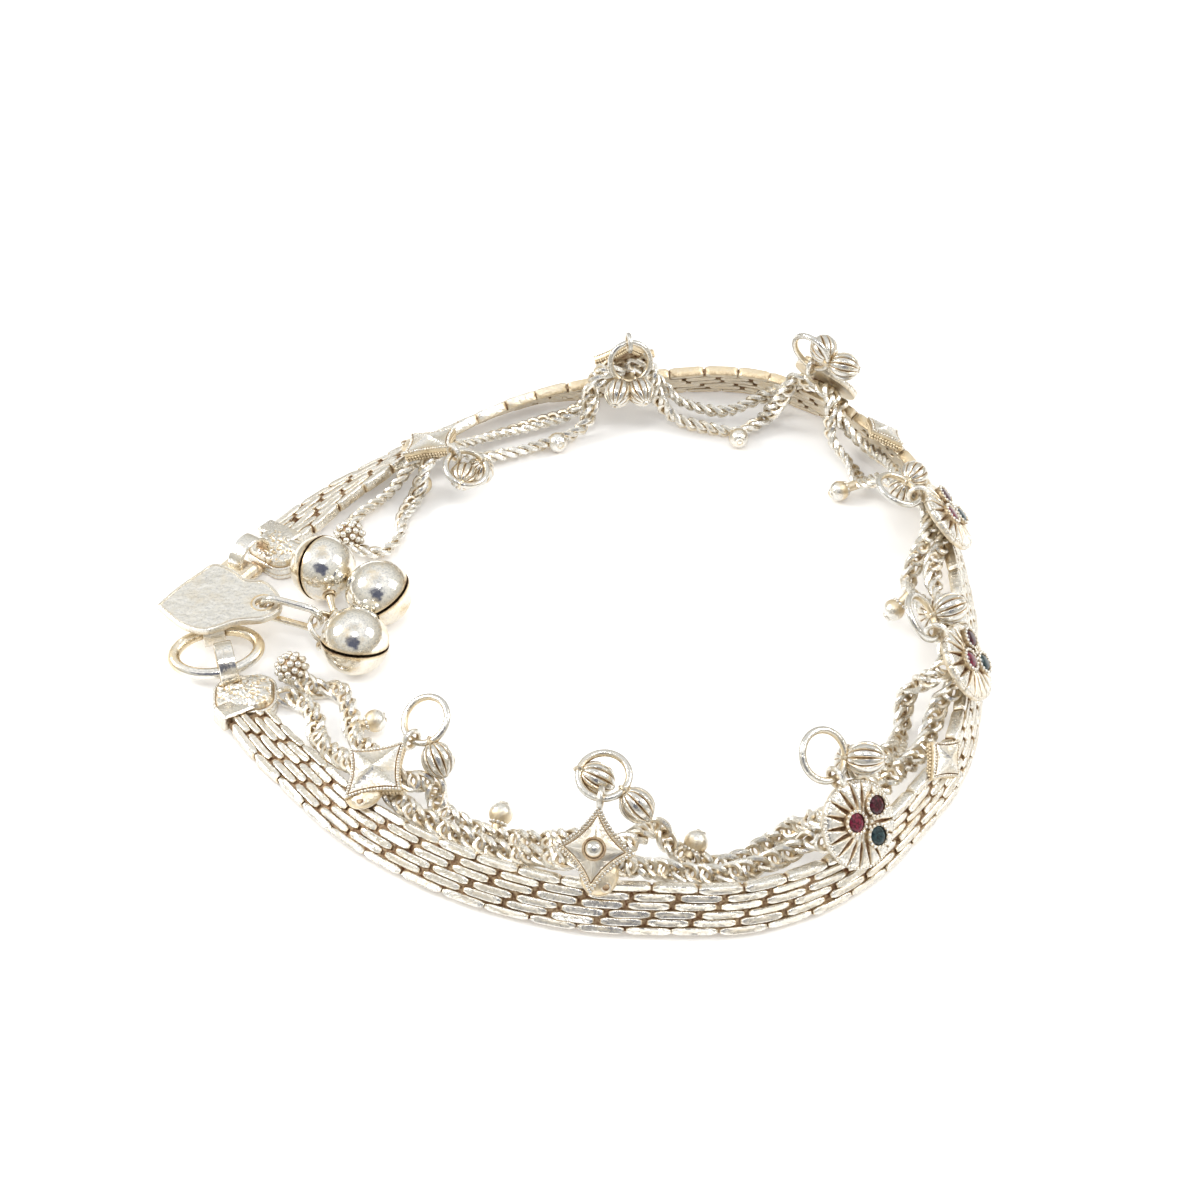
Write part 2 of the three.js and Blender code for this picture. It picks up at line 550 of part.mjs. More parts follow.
function claspRing() {
  const ring = new THREE.TorusGeometry(CLASP_RING.radius, CLASP_RING.wire, 6, 14).scale(CLASP_RING.stretch, 1, 1);
  const xAxis = new THREE.Vector3().crossVectors(CLASP_RING_TO_HOOK, UP).normalize();
  const zAxis = new THREE.Vector3().crossVectors(xAxis, CLASP_RING_TO_HOOK);
  return ring.applyMatrix4(frameMatrix(xAxis, CLASP_RING_TO_HOOK, zAxis, CLASP_RING_PLACE));
}

const HEART_OUTLINE = [
  [-42.3, -3.3], [-40.7, -5.0], [-38.9, -6.5], [-36.8, -7.1], [-35.2, -6.5], [-33.9, -5.8], [-30.9, -5.3],
  [-29.5, -4.0], [-29.6, -2.2], [-31.6, 0.4], [-33.6, 0.7], [-35.0, 2.0], [-37.3, 3.1], [-38.8, 1.6], [-40.6, -0.6],
];
const HEART_HOLE = [-31.4, -3.0];

// The open claw under the hook's near edge, which holds the oval ring's far wire.
function hookClaw() {
  const { radius, wall, width, riserLong, riserHigh } = CLAW;
  const from = THREE.MathUtils.degToRad(CLAW.fromDegrees);
  const to = THREE.MathUtils.degToRad(CLAW.toDegrees);
  const section = new THREE.Shape();
  section.absarc(0, 0, radius, from, to, false);
  section.absarc(0, 0, radius - wall, to, from, true);
  const claw = new THREE.ExtrudeGeometry(section, { depth: width, bevelEnabled: false, curveSegments: 7 });
  const riser = moved(new THREE.BoxGeometry(riserLong, riserHigh, width), 0, radius - wall / 2, 0);
  const whole = joined(moved(claw, 0, 0, -width / 2), riser);
  const wire = CLASP_RING_PLACE.clone().addScaledVector(CLASP_RING_TO_HOOK, CLASP_RING.radius);
  const xAxis = CLASP_RING_TO_HOOK.clone().setZ(0).normalize();
  return whole.applyMatrix4(frameMatrix(xAxis, UP, new THREE.Vector3().crossVectors(xAxis, UP), wire));
}

// The tongue under the hook's far edge, which reaches round the back flat ring with a bar through it.
function hookTongue() {
  const [tongue, riser] = [TONGUE, TONGUE_RISER].map(({ wide, long, thick, along, height }) => (
    moved(new THREE.BoxGeometry(wide, long, thick), 0, along, height)));
  return joined(tongue, riser).applyMatrix4(planMatrix(CAPS.back.ring, CAPS.back.ringTo));
}

function heartHook() {
  const outline = HEART_OUTLINE.map(([x, y]) => new THREE.Vector2(x, y));
  const plate = moved(flatPlate(outline, HEART.thick), 0, 0, HEART.low);
  const hole = new THREE.CylinderGeometry(HEART.hole, HEART.hole, 4, 10).rotateX(Math.PI / 2);
  return cut(
    joined(plate, hookClaw(), hookTongue()),
    moved(hole, ...HEART_HOLE, HEART.low),
    capRing(CAPS.back, GAP),
  );
}

// ---- the bells: a long ring through the hook's hole, a round ring in it, and three bells on that -----------

const TAG_RING_ALONG = new THREE.Vector3(0.963, -0.22, -0.152).normalize();
const TAG_RING_START = new THREE.Vector3(...HEART_HOLE, HEART.low + HEART.thick / 2);

function tagRing() {
  const { radius, straight, wire } = TAG_RING;
  const ring = new THREE.TorusGeometry(radius, wire, 6, 12).rotateZ(Math.PI / 12);
  const position = ring.attributes.position;
  for (let i = 0; i < position.count; i += 1) {
    const x = position.getX(i);
    position.setX(i, x + Math.sign(x) * straight);
  }
  const zAxis = new THREE.Vector3().crossVectors(TAG_RING_ALONG, UP).normalize();
  const yAxis = new THREE.Vector3().crossVectors(zAxis, TAG_RING_ALONG);
  const middle = TAG_RING_START.clone().addScaledVector(TAG_RING_ALONG, radius + straight);
  return ring.applyMatrix4(frameMatrix(TAG_RING_ALONG, yAxis, zAxis, middle));
}

// The bell ring passes inside the tag ring's far end, level there, and dips away from it.
function bellRingMatrix() {
  const inside = TAG_RING.wire + GAP + BELL_RING.wire;
  const reach = 2 * (TAG_RING.radius + TAG_RING.straight) - inside;
  const pass = TAG_RING_START.clone().addScaledVector(TAG_RING_ALONG, reach);
  const away = TAG_RING_ALONG.clone().setZ(0).normalize();
  const yAxis = new THREE.Vector3().crossVectors(UP, away);
  const xAxis = away.multiplyScalar(Math.sqrt(1 - BELL_RING.dip ** 2)).addScaledVector(UP, -BELL_RING.dip);
  const place = pass.addScaledVector(xAxis, BELL_RING.radius);
  return frameMatrix(xAxis, yAxis, new THREE.Vector3().crossVectors(xAxis, yAxis), place);
}

function bellRing() {
  return new THREE.TorusGeometry(BELL_RING.radius, BELL_RING.wire, 5, 14).applyMatrix4(bellRingMatrix());
}

// Each bell's middle, the axis square to its seam, its slit's side, and its eye's place round the bell ring.
const BELLS = {
  bell_1: { place: [-25.9, 3.3, 3.5], axis: [0.8, -0.53, 0.27], slit: [-0.56, -0.52, 0.64], hung: 90 },
  bell_2: { place: [-19.7, -0.6, 3.5], axis: [-0.44, 0.05, 0.85], slit: [0.8, -0.6, 0.2], hung: 30 },
  bell_3: { place: [-21.5, -7.8, 3.5], axis: [0.14, 0.33, 0.93], slit: [0.2, -1, 0.3], hung: -80 },
};

function bell({ place, axis, slit, hung }) {
  const centre = new THREE.Vector3(...place);
  const zAxis = new THREE.Vector3(...axis).normalize();
  const yAxis = new THREE.Vector3(...slit);
  yAxis.addScaledVector(zAxis, -yAxis.dot(zAxis)).normalize();
  const xAxis = new THREE.Vector3().crossVectors(yAxis, zAxis);
  const outer = new THREE.SphereGeometry(BELL.radius, 12, 8).rotateX(Math.PI / 2);
  const inner = new THREE.SphereGeometry(BELL.radius - BELL.wall, 8, 5).rotateX(Math.PI / 2);
  const opening = moved(new THREE.BoxGeometry(3 * BELL.radius, BELL.slitReach, BELL.slit), 0, BELL.slitReach / 2, 0);
  const body = cut(outer, inner, opening).applyMatrix4(frameMatrix(xAxis, yAxis, zAxis, centre));

  const angle = THREE.MathUtils.degToRad(hung);
  const ringMatrix = bellRingMatrix();
  const onRing = new THREE.Vector3(Math.cos(angle), Math.sin(angle), 0).multiplyScalar(BELL_RING.radius)
    .applyMatrix4(ringMatrix);
  const tangent = new THREE.Vector3(-Math.sin(angle), Math.cos(angle), 0).transformDirection(ringMatrix);
  const toBell = centre.clone().sub(onRing);
  const flat = toBell.clone().addScaledVector(tangent, -toBell.dot(tangent)).normalize();
  const eye = aimed(new THREE.TorusGeometry(BELL.eyeRadius, BELL.eyeWire, 4, 8), tangent)
    .translate(onRing.x, onRing.y, onRing.z);
  const root = onRing.clone().addScaledVector(flat, BELL.eyeRadius);
  const seat = centre.clone().addScaledVector(root.clone().sub(centre).normalize(), BELL.radius - BELL.wall / 2);
  return joined(body, eye, rod(root, seat, BELL.neck, 6));
}

// ---- assembly ------------------------------------------------------------------------------------------

const anklet = new THREE.Group();
anklet.position.set(-0.4, 1.4, 0); // the middle of the plan is the origin

function addNode(name, geometry, look = SILVER) {
  const mesh = new THREE.Mesh(geometry, new THREE.MeshStandardMaterial(look));
  mesh.name = name;
  anklet.add(mesh);
}

addNode('band_chain', bandStrap());
addNode('front_cap', cap(CAPS.front));
addNode('back_cap', cap(CAPS.back));
addNode('front_flat_ring', capRing(CAPS.front));
addNode('back_flat_ring', capRing(CAPS.back));
addNode('clasp_ring', claspRing());
addNode('heart_hook', heartHook());
addNode('tag_ring', tagRing());
addNode('bell_ring', bellRing());
for (const [name, row] of Object.entries(BELLS)) {
  addNode(name, bell(row));
}
for (const [name, place] of Object.entries(MOTIFS)) {
  addNode(name, motif(place));
}
for (const [name, row] of Object.entries(DROPS)) {
  addNode(name, drop(row));
}
INNER_SWAGS.forEach((row, i) => addNode(`inner_swag_${i + 1}`, swag(row, 'inner')));
OUTER_SWAGS.forEach((row, i) => addNode(`outer_swag_${i + 1}`, swag(row, 'outer')));

export default anklet;
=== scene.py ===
"""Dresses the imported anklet: mesh links, rope chain, milled plates, stones and bells, in tarnished silver."""
import math

import bmesh
import bpy
import numpy as np
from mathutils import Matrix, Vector, noise
from mathutils.geometry import tessellate_polygon


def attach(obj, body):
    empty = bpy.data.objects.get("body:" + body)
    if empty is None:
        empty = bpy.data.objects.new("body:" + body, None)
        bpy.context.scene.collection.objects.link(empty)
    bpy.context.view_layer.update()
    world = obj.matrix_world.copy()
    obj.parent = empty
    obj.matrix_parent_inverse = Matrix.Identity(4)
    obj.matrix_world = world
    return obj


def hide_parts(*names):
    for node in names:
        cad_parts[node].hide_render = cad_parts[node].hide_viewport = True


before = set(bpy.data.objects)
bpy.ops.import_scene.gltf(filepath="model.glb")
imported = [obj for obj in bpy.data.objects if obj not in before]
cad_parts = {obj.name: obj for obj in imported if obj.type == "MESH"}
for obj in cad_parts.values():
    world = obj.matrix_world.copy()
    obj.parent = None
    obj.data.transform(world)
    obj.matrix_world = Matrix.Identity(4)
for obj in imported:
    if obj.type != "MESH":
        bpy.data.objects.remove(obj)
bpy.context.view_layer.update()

# Everything is laid out in millimetres on the part's own plan, then moved and scaled to the frame.
MM = 0.001
PLAN_SHIFT = np.array([-0.4, 1.4, 0.0])
UP = np.array([0.0, 0.0, 1.0])
# How deep a soldered piece sits in the next, and the air left between loose ones.
SINK = 0.3
GAP = 0.3

BAND_WIDTH, BAND_THICK = 4.8, 1.3
LINK_PITCHES = 52
LINK_LONG, EDGE_LINK_LONG, LINK_WIDE, LINK_HIGH, LINK_DISH, LINK_UNDER_CAP = 3.72, 4.0, 0.8, 1.3, 0.1, 1.2
# A link's sections, as shares of its half length.
LINK_SHARES = (-1, -0.985, -0.93, -0.84, -0.72, -0.4, 0, 0.4, 0.72, 0.84, 0.93, 0.985, 1)
# How far across the band each row of links lies, and how far along it starts, in pitches.
LINK_ROWS = [(-2.0, 0.59), (-1.2, 0.0), (-0.4, 0.18), (0.4, 0.59), (1.2, 0.72), (2.0, 0.15)]
# Rows further across than this are the band's edges.
EDGE_ROW = 1.9
LINK_SEED = 7
WEAVE_SECTIONS = 440
# Where along the band its face is worn bright, and where its edges are stained.
BRIGHT_STRETCH = (66, 78, 130, 150)
STAINED_EDGE = (105, 125, 175, 190)

ROPE_RADIUS, ROPE_WIRE, ROPE_LONG, ROPE_STEP, ROPE_BEND = 1.1, 0.31, 1.1, 1.28, 0.72
# How far apart a rope's sways are, how much each tilts its links in radians, and its points.
ROPE_SWAY, ROPE_TILT, ROPE_SAMPLES = 9.0, 0.45, 240
BALL_RADIUS = 1.15
CLUSTER_RADIUS = 1.8
DIAMOND = dict(half_long=3.95, half_wide=3.6, thick=0.6, ridge=0.8, pull=0.72)
SMALL_DIAMOND = dict(half_long=2.2, half_wide=3.0, thick=0.5, ridge=0.6, pull=0.8)
DIAMOND_SHARES = np.arange(16) / 16
# Each plate's beaded rims: share of the outline, spacing and radius of the beads.
DIAMOND_RIMS = [(0.965, 0.3, 0.16)]
BOSS_RIMS = [(0.965, 0.34, 0.17), (0.86, 0.24, 0.1)]
SMALL_RIMS = [(0.93, 0.3, 0.13)]
ROOF_SAG = 1.3
BOSS_RADIUS = 0.85
FAN_SHARES = (0.985, 1.0, 1.0, 0.985, 0.96, 0.93, 0.89, 0.84, 0.78, 0.71, 0.64, 0.57, 0.5, 0.42, 0.34, 0.02)
FAN_LONG, FAN_WIDE, FAN_THICK, FAN_DOME = 4.1, 3.95, 0.6, 0.7
FAN_PETALS, PETAL_POINTS = 18, 12
BEZEL_TOP, BEZEL_RING, BEZEL_ASIDE, BEZEL_FIRST = 1.6, 1.6, 0.7, 156
FOOT_WIDE, FOOT_LONG, FOOT_HIGH, FOOT_LIFT, FOOT_LOW, FOOT_ASIDE = 1.7, 1.9, 0.8, 0.4, 0.2, 0.6
EYE_RADIUS, EYE_WIRE = 0.95, 0.28
DROP_RADIUS, DROP_WIRE = 2.3, 0.35
BEAD_RADIUS, BEAD_LONG, BEAD_REACH = 1.6, 1.75, 1.85
BEAD_FLUTES, FLUTE_POINTS = 12, 10
CAP_ACROSS, CAP_ALONG, CAP_CORNER, CAP_WALL, CAP_SHOULDER, CAP_TOP = 3.2, 2.6, 1.8, 1.4, 2.0, 2.4
NECK_LONG, NECK_WIDE, NECK_HIGH, NECK_OVER, NECK_LIFT = 2.1, 5.2, 1.9, -0.3, 0.05
FLAT_RADIUS, FLAT_WALL, FLAT_WIDTH = 2.5, 0.45, 1.8
CLASP_RADIUS, CLASP_WIRE, CLASP_STRETCH = 2.8, 0.62, 1.54
HEART_THICK, HEART_LOW, HEART_BEVEL, HEART_HOLE_RADIUS, HOLE_POINTS = 0.8, 3.6, 0.14, 0.95, 28
CLAW_RADIUS, CLAW_WALL, CLAW_WIDTH = 1.55, 0.58, 2.2
TAG_RADIUS, TAG_STRAIGHT, TAG_WIRE = 1.4, 1.7, 0.4
BELL_RING_RADIUS, BELL_RING_WIRE, BELL_RING_DIP = 1.8, 0.3, 0.6
BELL_RADIUS, BELL_WALL, BELL_SLIT_SEEN, BELL_NECK = 3.5, 0.45, 0.26, 0.4
BELL_EYE, BELL_EYE_WIRE, PELLET_RADIUS = 0.85, 0.26, 1.0
BELL_SEAM, BELL_AROUND, BELL_UP = 0.07, 72, 14

# The band's middle line in plan and its tilt in degrees, from the front cap to the back cap.
BAND_ROUTE = [
    (-31.5, -16.3, -10), (-26.5, -22.2, 6), (-19.1, -30.4, 32), (-9.8, -36.5, 48), (-0.2, -40.0, 58),
    (8.3, -40.9, 61), (17.3, -40.6, 63), (25.7, -36.9, 64), (32.9, -29.7, 65), (38.0, -21.8, 66),
    (40.5, -12.3, 65), (41.4, -1.5, 63), (41.2, 9.0, 63), (39.5, 19.2, 64), (34.9, 27.2, 65),
    (29.3, 33.3, 65), (21.5, 37.7, 63), (12.5, 38.0, 61), (3.4, 36.6, 56), (-4.9, 34.6, 46),
    (-12.9, 29.5, 40), (-19.7, 23.9, 28), (-25.8, 18.1, 17), (-30.7, 12.2, 8),
]

# kind, distance along the band, rise of its middle, lean beyond the band's tilt
MOTIFS = {
    "diamond_1": ("diamond", 17.2, 4.8, -15),
    "boss_diamond_1": ("boss", 43.1, 5.5, -24),
    "fan_1": ("fan", 69.0, 4.5, -12),
    "small_diamond_1": ("small", 82.5, 2.4, -20),
    "fan_2": ("fan", 94.5, 4.4, -15),
    "fan_3": ("fan", 116.7, 4.4, -15),
    "small_diamond_2": ("small", 134.5, 3.6, -40),
    "fan_4": ("fan", 145.0, 4.2, -12),
    "boss_diamond_2": ("boss", 170.5, 5.0, 0),
    "diamond_2": ("diamond", 198.0, 5.0, -12),
}
HALF_LONG = {"diamond": DIAMOND["half_long"], "boss": DIAMOND["half_long"], "fan": FAN_LONG,
             "small": SMALL_DIAMOND["half_long"]}
# How far across the band its motifs lean from.
HINGE = 2.0
# Where a tier's rope meets a motif: aside, along and behind.
CORNERS = {
    "diamond": {"inner": (2.0, 1.4, -1.25), "outer": (2.6, -0.4, -1.25)},
    "boss": {"inner": (2.5, 0.9, -1.25), "outer": (2.6, -1.0, -1.25)},
    "fan": {"inner": (2.2, 1.8, -1.25), "outer": (2.6, -0.4, -1.25)},
}

# The motifs that ropes are soldered to and rings hang from. A first and a last rope lie at either end.
STOPS = ["diamond_1", "boss_diamond_1", "fan_1", "fan_2", "fan_3", "fan_4", "boss_diamond_2", "diamond_2"]
SWAG_ROUTES = {
    "inner": [
        [(-27.2, -11.0, 1.8), (-25.5, -12.0, 1.0), (-23.0, -12.2, 0.9), (-21.7, -14.7, 0.9),
         (-21.0, -17.7, 1.2), (-19.9, -21.0, 2.7)],
        [(-12.1, -26.8, 3.0), (-12.0, -28.2, 1.8), (-8.8, -30.4, 1.0), (-5.9, -31.6, 1.0),
         (-1.6, -33.6, 3.0)],
        [(8.7, -32.5, 3.5), (10.4, -33.5, 1.5), (14.6, -34.9, 1.0), (19.2, -32.5, 1.4), (21.6, -32.6, 4.2)],
        [(30.3, -25.0, 5.0), (32.0, -21.6, 2.5), (33.2, -17.7, 1.2), (33.9, -14.8, 3.0)],
        [(36.2, -2.0, 4.5), (35.8, 1.2, 3.2)],
        [(34.8, 16.1, 5.0), (33.0, 20.0, 1.5), (32.0, 23.6, 1.2), (30.0, 26.4, 2.8)],
        [(24.0, 31.0, 4.2), (22.6, 31.8, 1.4), (19.6, 30.2, 0.9), (15.2, 31.0, 0.9), (12.0, 32.2, 1.4),
         (9.9, 32.8, 4.4)],
        [(2.4, 32.4, 6.0), (2.2, 31.0, 3.0), (1.0, 29.8, 1.4), (-4.1, 27.1, 1.0), (-10.4, 24.5, 1.5)],
        [(-17.2, 18.1, 1.2), (-18.4, 14.8, 0.9), (-18.9, 11.1, 0.9), (-20.6, 8.8, 0.9), (-23.0, 8.9, 1.2)],
    ],
    "outer": [
        [(-28.1, -13.1, 1.0), (-26.1, -14.2, 0.9), (-24.9, -16.1, 0.9), (-24.5, -18.3, 0.9),
         (-23.2, -20.4, 1.2), (-21.8, -22.6, 2.4)],
        [(-14.1, -29.8, 2.6), (-9.9, -32.2, 2.2), (-4.8, -34.8, 2.6), (-2.1, -36.1, 3.9)],
        [(9.0, -37.0, 3.0), (14.3, -37.4, 2.8), (20.2, -35.5, 3.2), (22.5, -34.9, 4.7)],
        [(30.4, -27.4, 4.4), (34.0, -22.8, 3.0), (35.9, -18.8, 3.2), (36.9, -17.0, 4.8)],
        [(38.6, -5.0, 5.2), (38.2, -1.0, 4.4), (38.4, 2.6, 4.8)],
        [(37.0, 15.6, 5.2), (36.0, 20.4, 3.7), (34.2, 23.9, 3.0), (32.0, 26.6, 3.6), (30.6, 27.8, 5.0)],
        [(25.0, 32.9, 4.9), (22.6, 34.2, 2.8), (18.1, 32.9, 1.7), (12.9, 34.2, 2.2), (10.6, 34.5, 4.6)],
        [(2.2, 33.2, 4.2), (0.0, 32.5, 1.8), (-3.8, 30.9, 1.5), (-7.9, 29.0, 1.5), (-11.8, 25.8, 2.6)],
        [(-20.2, 18.4, 1.4), (-21.9, 16.7, 1.0), (-23.3, 15.0, 1.0), (-24.2, 12.8, 1.1)],
    ],
}
# What hangs from an inner rope, and what ends one, by the rope's number.
SWAG_BALLS = {
    1: (-18.8, -17.1, 1.6), 2: (-5.9, -29.5, 2.0), 3: (12.3, -32.9, 2.0), 5: (34.0, -2.1, 2.5),
    6: (30.3, 18.8, 1.2), 7: (19.5, 28.4, 1.2), 8: (-1.5, 27.6, 1.2), 9: (-16.7, 20.0, 1.2),
}
CLUSTERS = {1: (-27.8, -10.2, 2.0), 9: (-23.9, 10.3, 2.0)}

# For each stop, the way the ring hangs from its eye, and roughly where its beads lie.
DROPS = [
    ((0.58, 0.6, 0.55), [(-11.9, -25.3, 4.9)]),
    ((0.13, 0.96, 0.26), [(3.1, -31.5, 9.2), (6.7, -34.1, 8.6)]),
    ((-0.47, 0.55, 0.69), [(26.2, -29.9, 9.8), (27.3, -31.2, 11.6)]),
    ((-0.66, 0.12, 0.74), [(38.4, -10.8, 11.3), (36.5, -9.5, 8.8)]),
    ((-0.93, -0.07, 0.36), [(36.5, 10.4, 10.1), (35.6, 10.1, 8.4)]),
    ((-0.15, -0.17, 0.97), [(28.6, 29.8, 12.8), (30.8, 27.7, 11.9)]),
    ((-0.05, -0.35, -0.92), [(5.5, 30.0, 6.6), (8.2, 29.8, 6.5)]),
    ((0.62, -0.71, -0.35), [(-10.0, 19.2, 3.8), (-11.7, 17.0, 4.8)]),
]

# place, way to the clasp, which end of the band, its ring's place and the way that reaches
CAPS = {
    "front": ((-32.2, -13.3), (-0.12, 0.99), 0, (-34.3, -10.3), (-0.3, 0.95)),
    "back": ((-31.6, 8.6), (-0.62, -0.79), 1, (-34.2, 6.2), (-0.55, -0.84)),
}
CAP_SEEDS = {"front": 3, "back": 11}
CLASP_PLACE = np.array([-35.8, -7.7, 1.9])
CLASP_TO_HOOK = np.array([-0.23, 0.97, 0.12])
HEART_OUTLINE = [
    (-42.3, -3.3), (-40.7, -5.0), (-38.9, -6.5), (-36.8, -7.1), (-35.2, -6.5), (-33.9, -5.8), (-30.9, -5.3),
    (-29.5, -4.0), (-29.6, -2.2), (-31.6, 0.4), (-33.6, 0.7), (-35.0, 2.0), (-37.3, 3.1), (-38.8, 1.6),
    (-40.6, -0.6),
]
HEART_HOLE = (-31.4, -3.0)
TAG_START = np.array([*HEART_HOLE, HEART_LOW + HEART_THICK / 2])
TAG_ALONG = np.array([0.963, -0.22, -0.152])
# place, axis, the side its slit is on, how far round the bell ring it hangs in degrees
BELLS = {
    "bell_1": ((-25.9, 3.3, 3.5), (0.8, -0.53, 0.27), (-0.56, -0.52, 0.64), 90),
    "bell_2": ((-19.7, -0.6, 3.5), (-0.44, 0.05, 0.85), (0.8, -0.6, 0.2), 30),
    "bell_3": ((-21.5, -7.8, 3.5), (0.14, 0.33, 0.93), (0.2, -1, 0.3), -80),
}


# ---- directions and curves ----

def unit(vectors):
    """One vector, or a row of them, each brought to a length of 1."""
    vectors = np.asarray(vectors, float)
    return vectors / np.linalg.norm(vectors, axis=-1, keepdims=True)


def square_to(direction, axis):
    """The direction nearest the given one that is square to an axis."""
    return unit(direction - axis * np.dot(direction, axis))


def smoothstep(low, high, value):
    share = np.clip((value - low) / (high - low), 0.0, 1.0)
    return share * share * (3 - 2 * share)


def within(value, low, full, fading, high):
    """Rises to 1 between the first two marks, and falls again between the last two."""
    return smoothstep(low, full, value) * smoothstep(high, fading, value)


def matrix_of(x_axis, y_axis, z_axis, place=(0, 0, 0)):
    matrix = np.eye(4)
    matrix[:3] = np.column_stack([x_axis, y_axis, z_axis, place])
    return matrix


def aim_matrix(direction, place):
    """Turns +Z to a direction the shortest way, and moves to a place."""
    turn = Vector((0, 0, 1)).rotation_difference(Vector(unit(direction))).to_matrix()
    return matrix_of(*np.array(turn).T, place)


def catmull_rom(points, t, even=False):
    """A point at a share t of a Catmull-Rom curve: uniform, or centripetal where even is false."""
    points = np.asarray(points, float)
    last = len(points) - 1
    place = t * last
    first = min(int(place), last - 1)
    share = place - first
    p1, p2 = points[first], points[first + 1]
    p0 = points[first - 1] if first > 0 else 2 * points[0] - points[1]
    p3 = points[first + 2] if first + 2 <= last else 2 * points[last] - points[last - 1]
    if even:
        t1, t2 = (p2 - p0) / 2, (p3 - p1) / 2
    else:
        d0, d1, d2 = (max(np.linalg.norm(b - a), 1e-8) ** 0.5 for a, b in ((p0, p1), (p1, p2), (p2, p3)))
        t1 = ((p1 - p0) / d0 - (p2 - p0) / (d0 + d1) + (p2 - p1) / d1) * d1
        t2 = ((p2 - p1) / d1 - (p3 - p1) / (d1 + d2) + (p3 - p2) / d2) * d1
    c2 = -3 * p1 + 3 * p2 - 2 * t1 - t2
    c3 = 2 * p1 - 2 * p2 + t1 + t2
    return p1 + t1 * share + c2 * share ** 2 + c3 * share ** 3


def distances(path):
    """How far along a path each of its points lies."""
    return np.concatenate([[0], np.cumsum(np.linalg.norm(np.diff(path, axis=0), axis=1))])


def band_sample(t):
    x, y, tilt = catmull_rom(BAND_ROUTE, t, even=True)
    tilt = math.radians(tilt)
    return x, y, BAND_WIDTH / 2 * abs(math.sin(tilt)) + BAND_THICK / 2 * math.cos(tilt), tilt


BAND_SAMPLES = np.array([band_sample(t) for t in np.linspace(0, 1, 2001)])
BAND_ALONG = distances(BAND_SAMPLES[:, :3])
BAND_LENGTH = BAND_ALONG[-1]


def band_frames(along):
    """Middle points and unit directions at distances along the band: along, across and out of its face."""
    along = np.atleast_1d(along)
    slope = np.gradient(BAND_SAMPLES[:, :2], axis=0)
    x, y, z, tilt, run_x, run_y = (np.interp(along, BAND_ALONG, column)
                                   for column in np.column_stack([BAND_SAMPLES, slope]).T)
    level_run = np.zeros(len(along))
    run = unit(np.stack([run_x, run_y, level_run], -1))
    outward = np.stack([run[:, 1], -run[:, 0], level_run], -1)
    sine, cosine = np.sin(tilt)[:, None], np.cos(tilt)[:, None]
    return np.stack([x, y, z], -1), run, UP * sine - outward * cosine, outward * sine + UP * cosine


def band_frame(along):
    return [rows[0] for rows in band_frames(along)]


def on_band(along, across, out):
    """Points along the band, across it and out of its middle sheet. Its ends run on straight."""
    along, across, out = (row[:, None] for row in np.broadcast_arrays(along, across, out))
    centre, run, across_axis, face = band_frames(along[:, 0])
    beyond = along - np.clip(along, 0, BAND_LENGTH)
    return centre + run * beyond + across_axis * across + face * out


def plan_matrix(place, towards, height=0.0):
    """Y points a way in plan, and Z up."""
    y_axis = unit((*towards[:2], 0))
    return matrix_of((y_axis[1], -y_axis[0], 0), y_axis, UP, (*place, height))


def motif_matrix(name):
    kind, along, rise, lean = MOTIFS[name]
    centre, x_axis, across, face = band_frame(along)
    angle = math.radians(lean)
    y_axis = across * math.cos(angle) + face * math.sin(angle)
    z_axis = face * math.cos(angle) - across * math.sin(angle)
    below = HALF_LONG[kind] - (rise - HINGE)
    lift = BAND_THICK / 2 + GAP + below * max(math.sin(angle), 0) + (0 if kind == "small" else FOOT_LIFT)
    place = centre + across * HINGE + face * lift + y_axis * (rise - HINGE)
    return matrix_of(x_axis, y_axis, z_axis, place)


def on_motif(name, point):
    return (motif_matrix(name) @ (*point, 1))[:3]


# ---- loose forms: points, faces and how much tarnish and painted shade each point has ----

class Form:
    def __init__(self, points, faces, tarnish_and_shade=0.0):
        self.points = np.asarray(points, float).reshape(-1, 3)
        self.faces = faces
        self.tarnish_and_shade = np.broadcast_to(np.ravel(tarnish_and_shade), len(self.points)).astype(float)

    def under(self, matrix):
        return Form(self.points @ matrix[:3, :3].T + matrix[:3, 3], self.faces, self.tarnish_and_shade)

    def at(self, place):
        return Form(self.points + place, self.faces, self.tarnish_and_shade)

    def scaled(self, *factors):
        return Form(self.points * factors, self.faces, self.tarnish_and_shade)

    def stained_and_shaded(self, tarnish_and_shade):
        return Form(self.points, self.faces, tarnish_and_shade)


def together(*forms):
    faces, base = [], 0
    for form in forms:
        faces += [tuple(i + base for i in face) for face in form.faces]
        base += len(form.points)
    return Form(np.concatenate([form.points for form in forms]), faces,
                np.concatenate([form.tarnish_and_shade for form in forms]))


def grid_faces(rows, columns, wrap_rows=False):
    """Four-sided faces between the points of a grid whose columns go round."""
    faces = []
    for row in range(rows if wrap_rows else rows - 1):
        here, above = row * columns, (row + 1) % rows * columns
        for column in range(columns):
            beside = (column + 1) % columns
            faces.append((here + column, here + beside, above + beside, above + column))
    return faces


def flipped(faces):
    return [tuple(reversed(face)) for face in faces]


def directions(angles):
    """Unit directions in plan at angles."""
    return np.stack([np.cos(angles), np.sin(angles)], -1)


def stacked(rings, tarnish_and_shade=0.0):
    """A body through a stack of equal rings of points, each end closed by one face."""
    rows, columns = np.shape(rings)[:2]
    ends = [tuple(reversed(range(columns))), tuple(range((rows - 1) * columns, rows * columns))]
    return Form(rings, grid_faces(rows, columns) + ends, tarnish_and_shade)


def level(outline, height):
    """An outline in plan, at a height."""
    return np.column_stack([outline, np.broadcast_to(height, len(outline))])


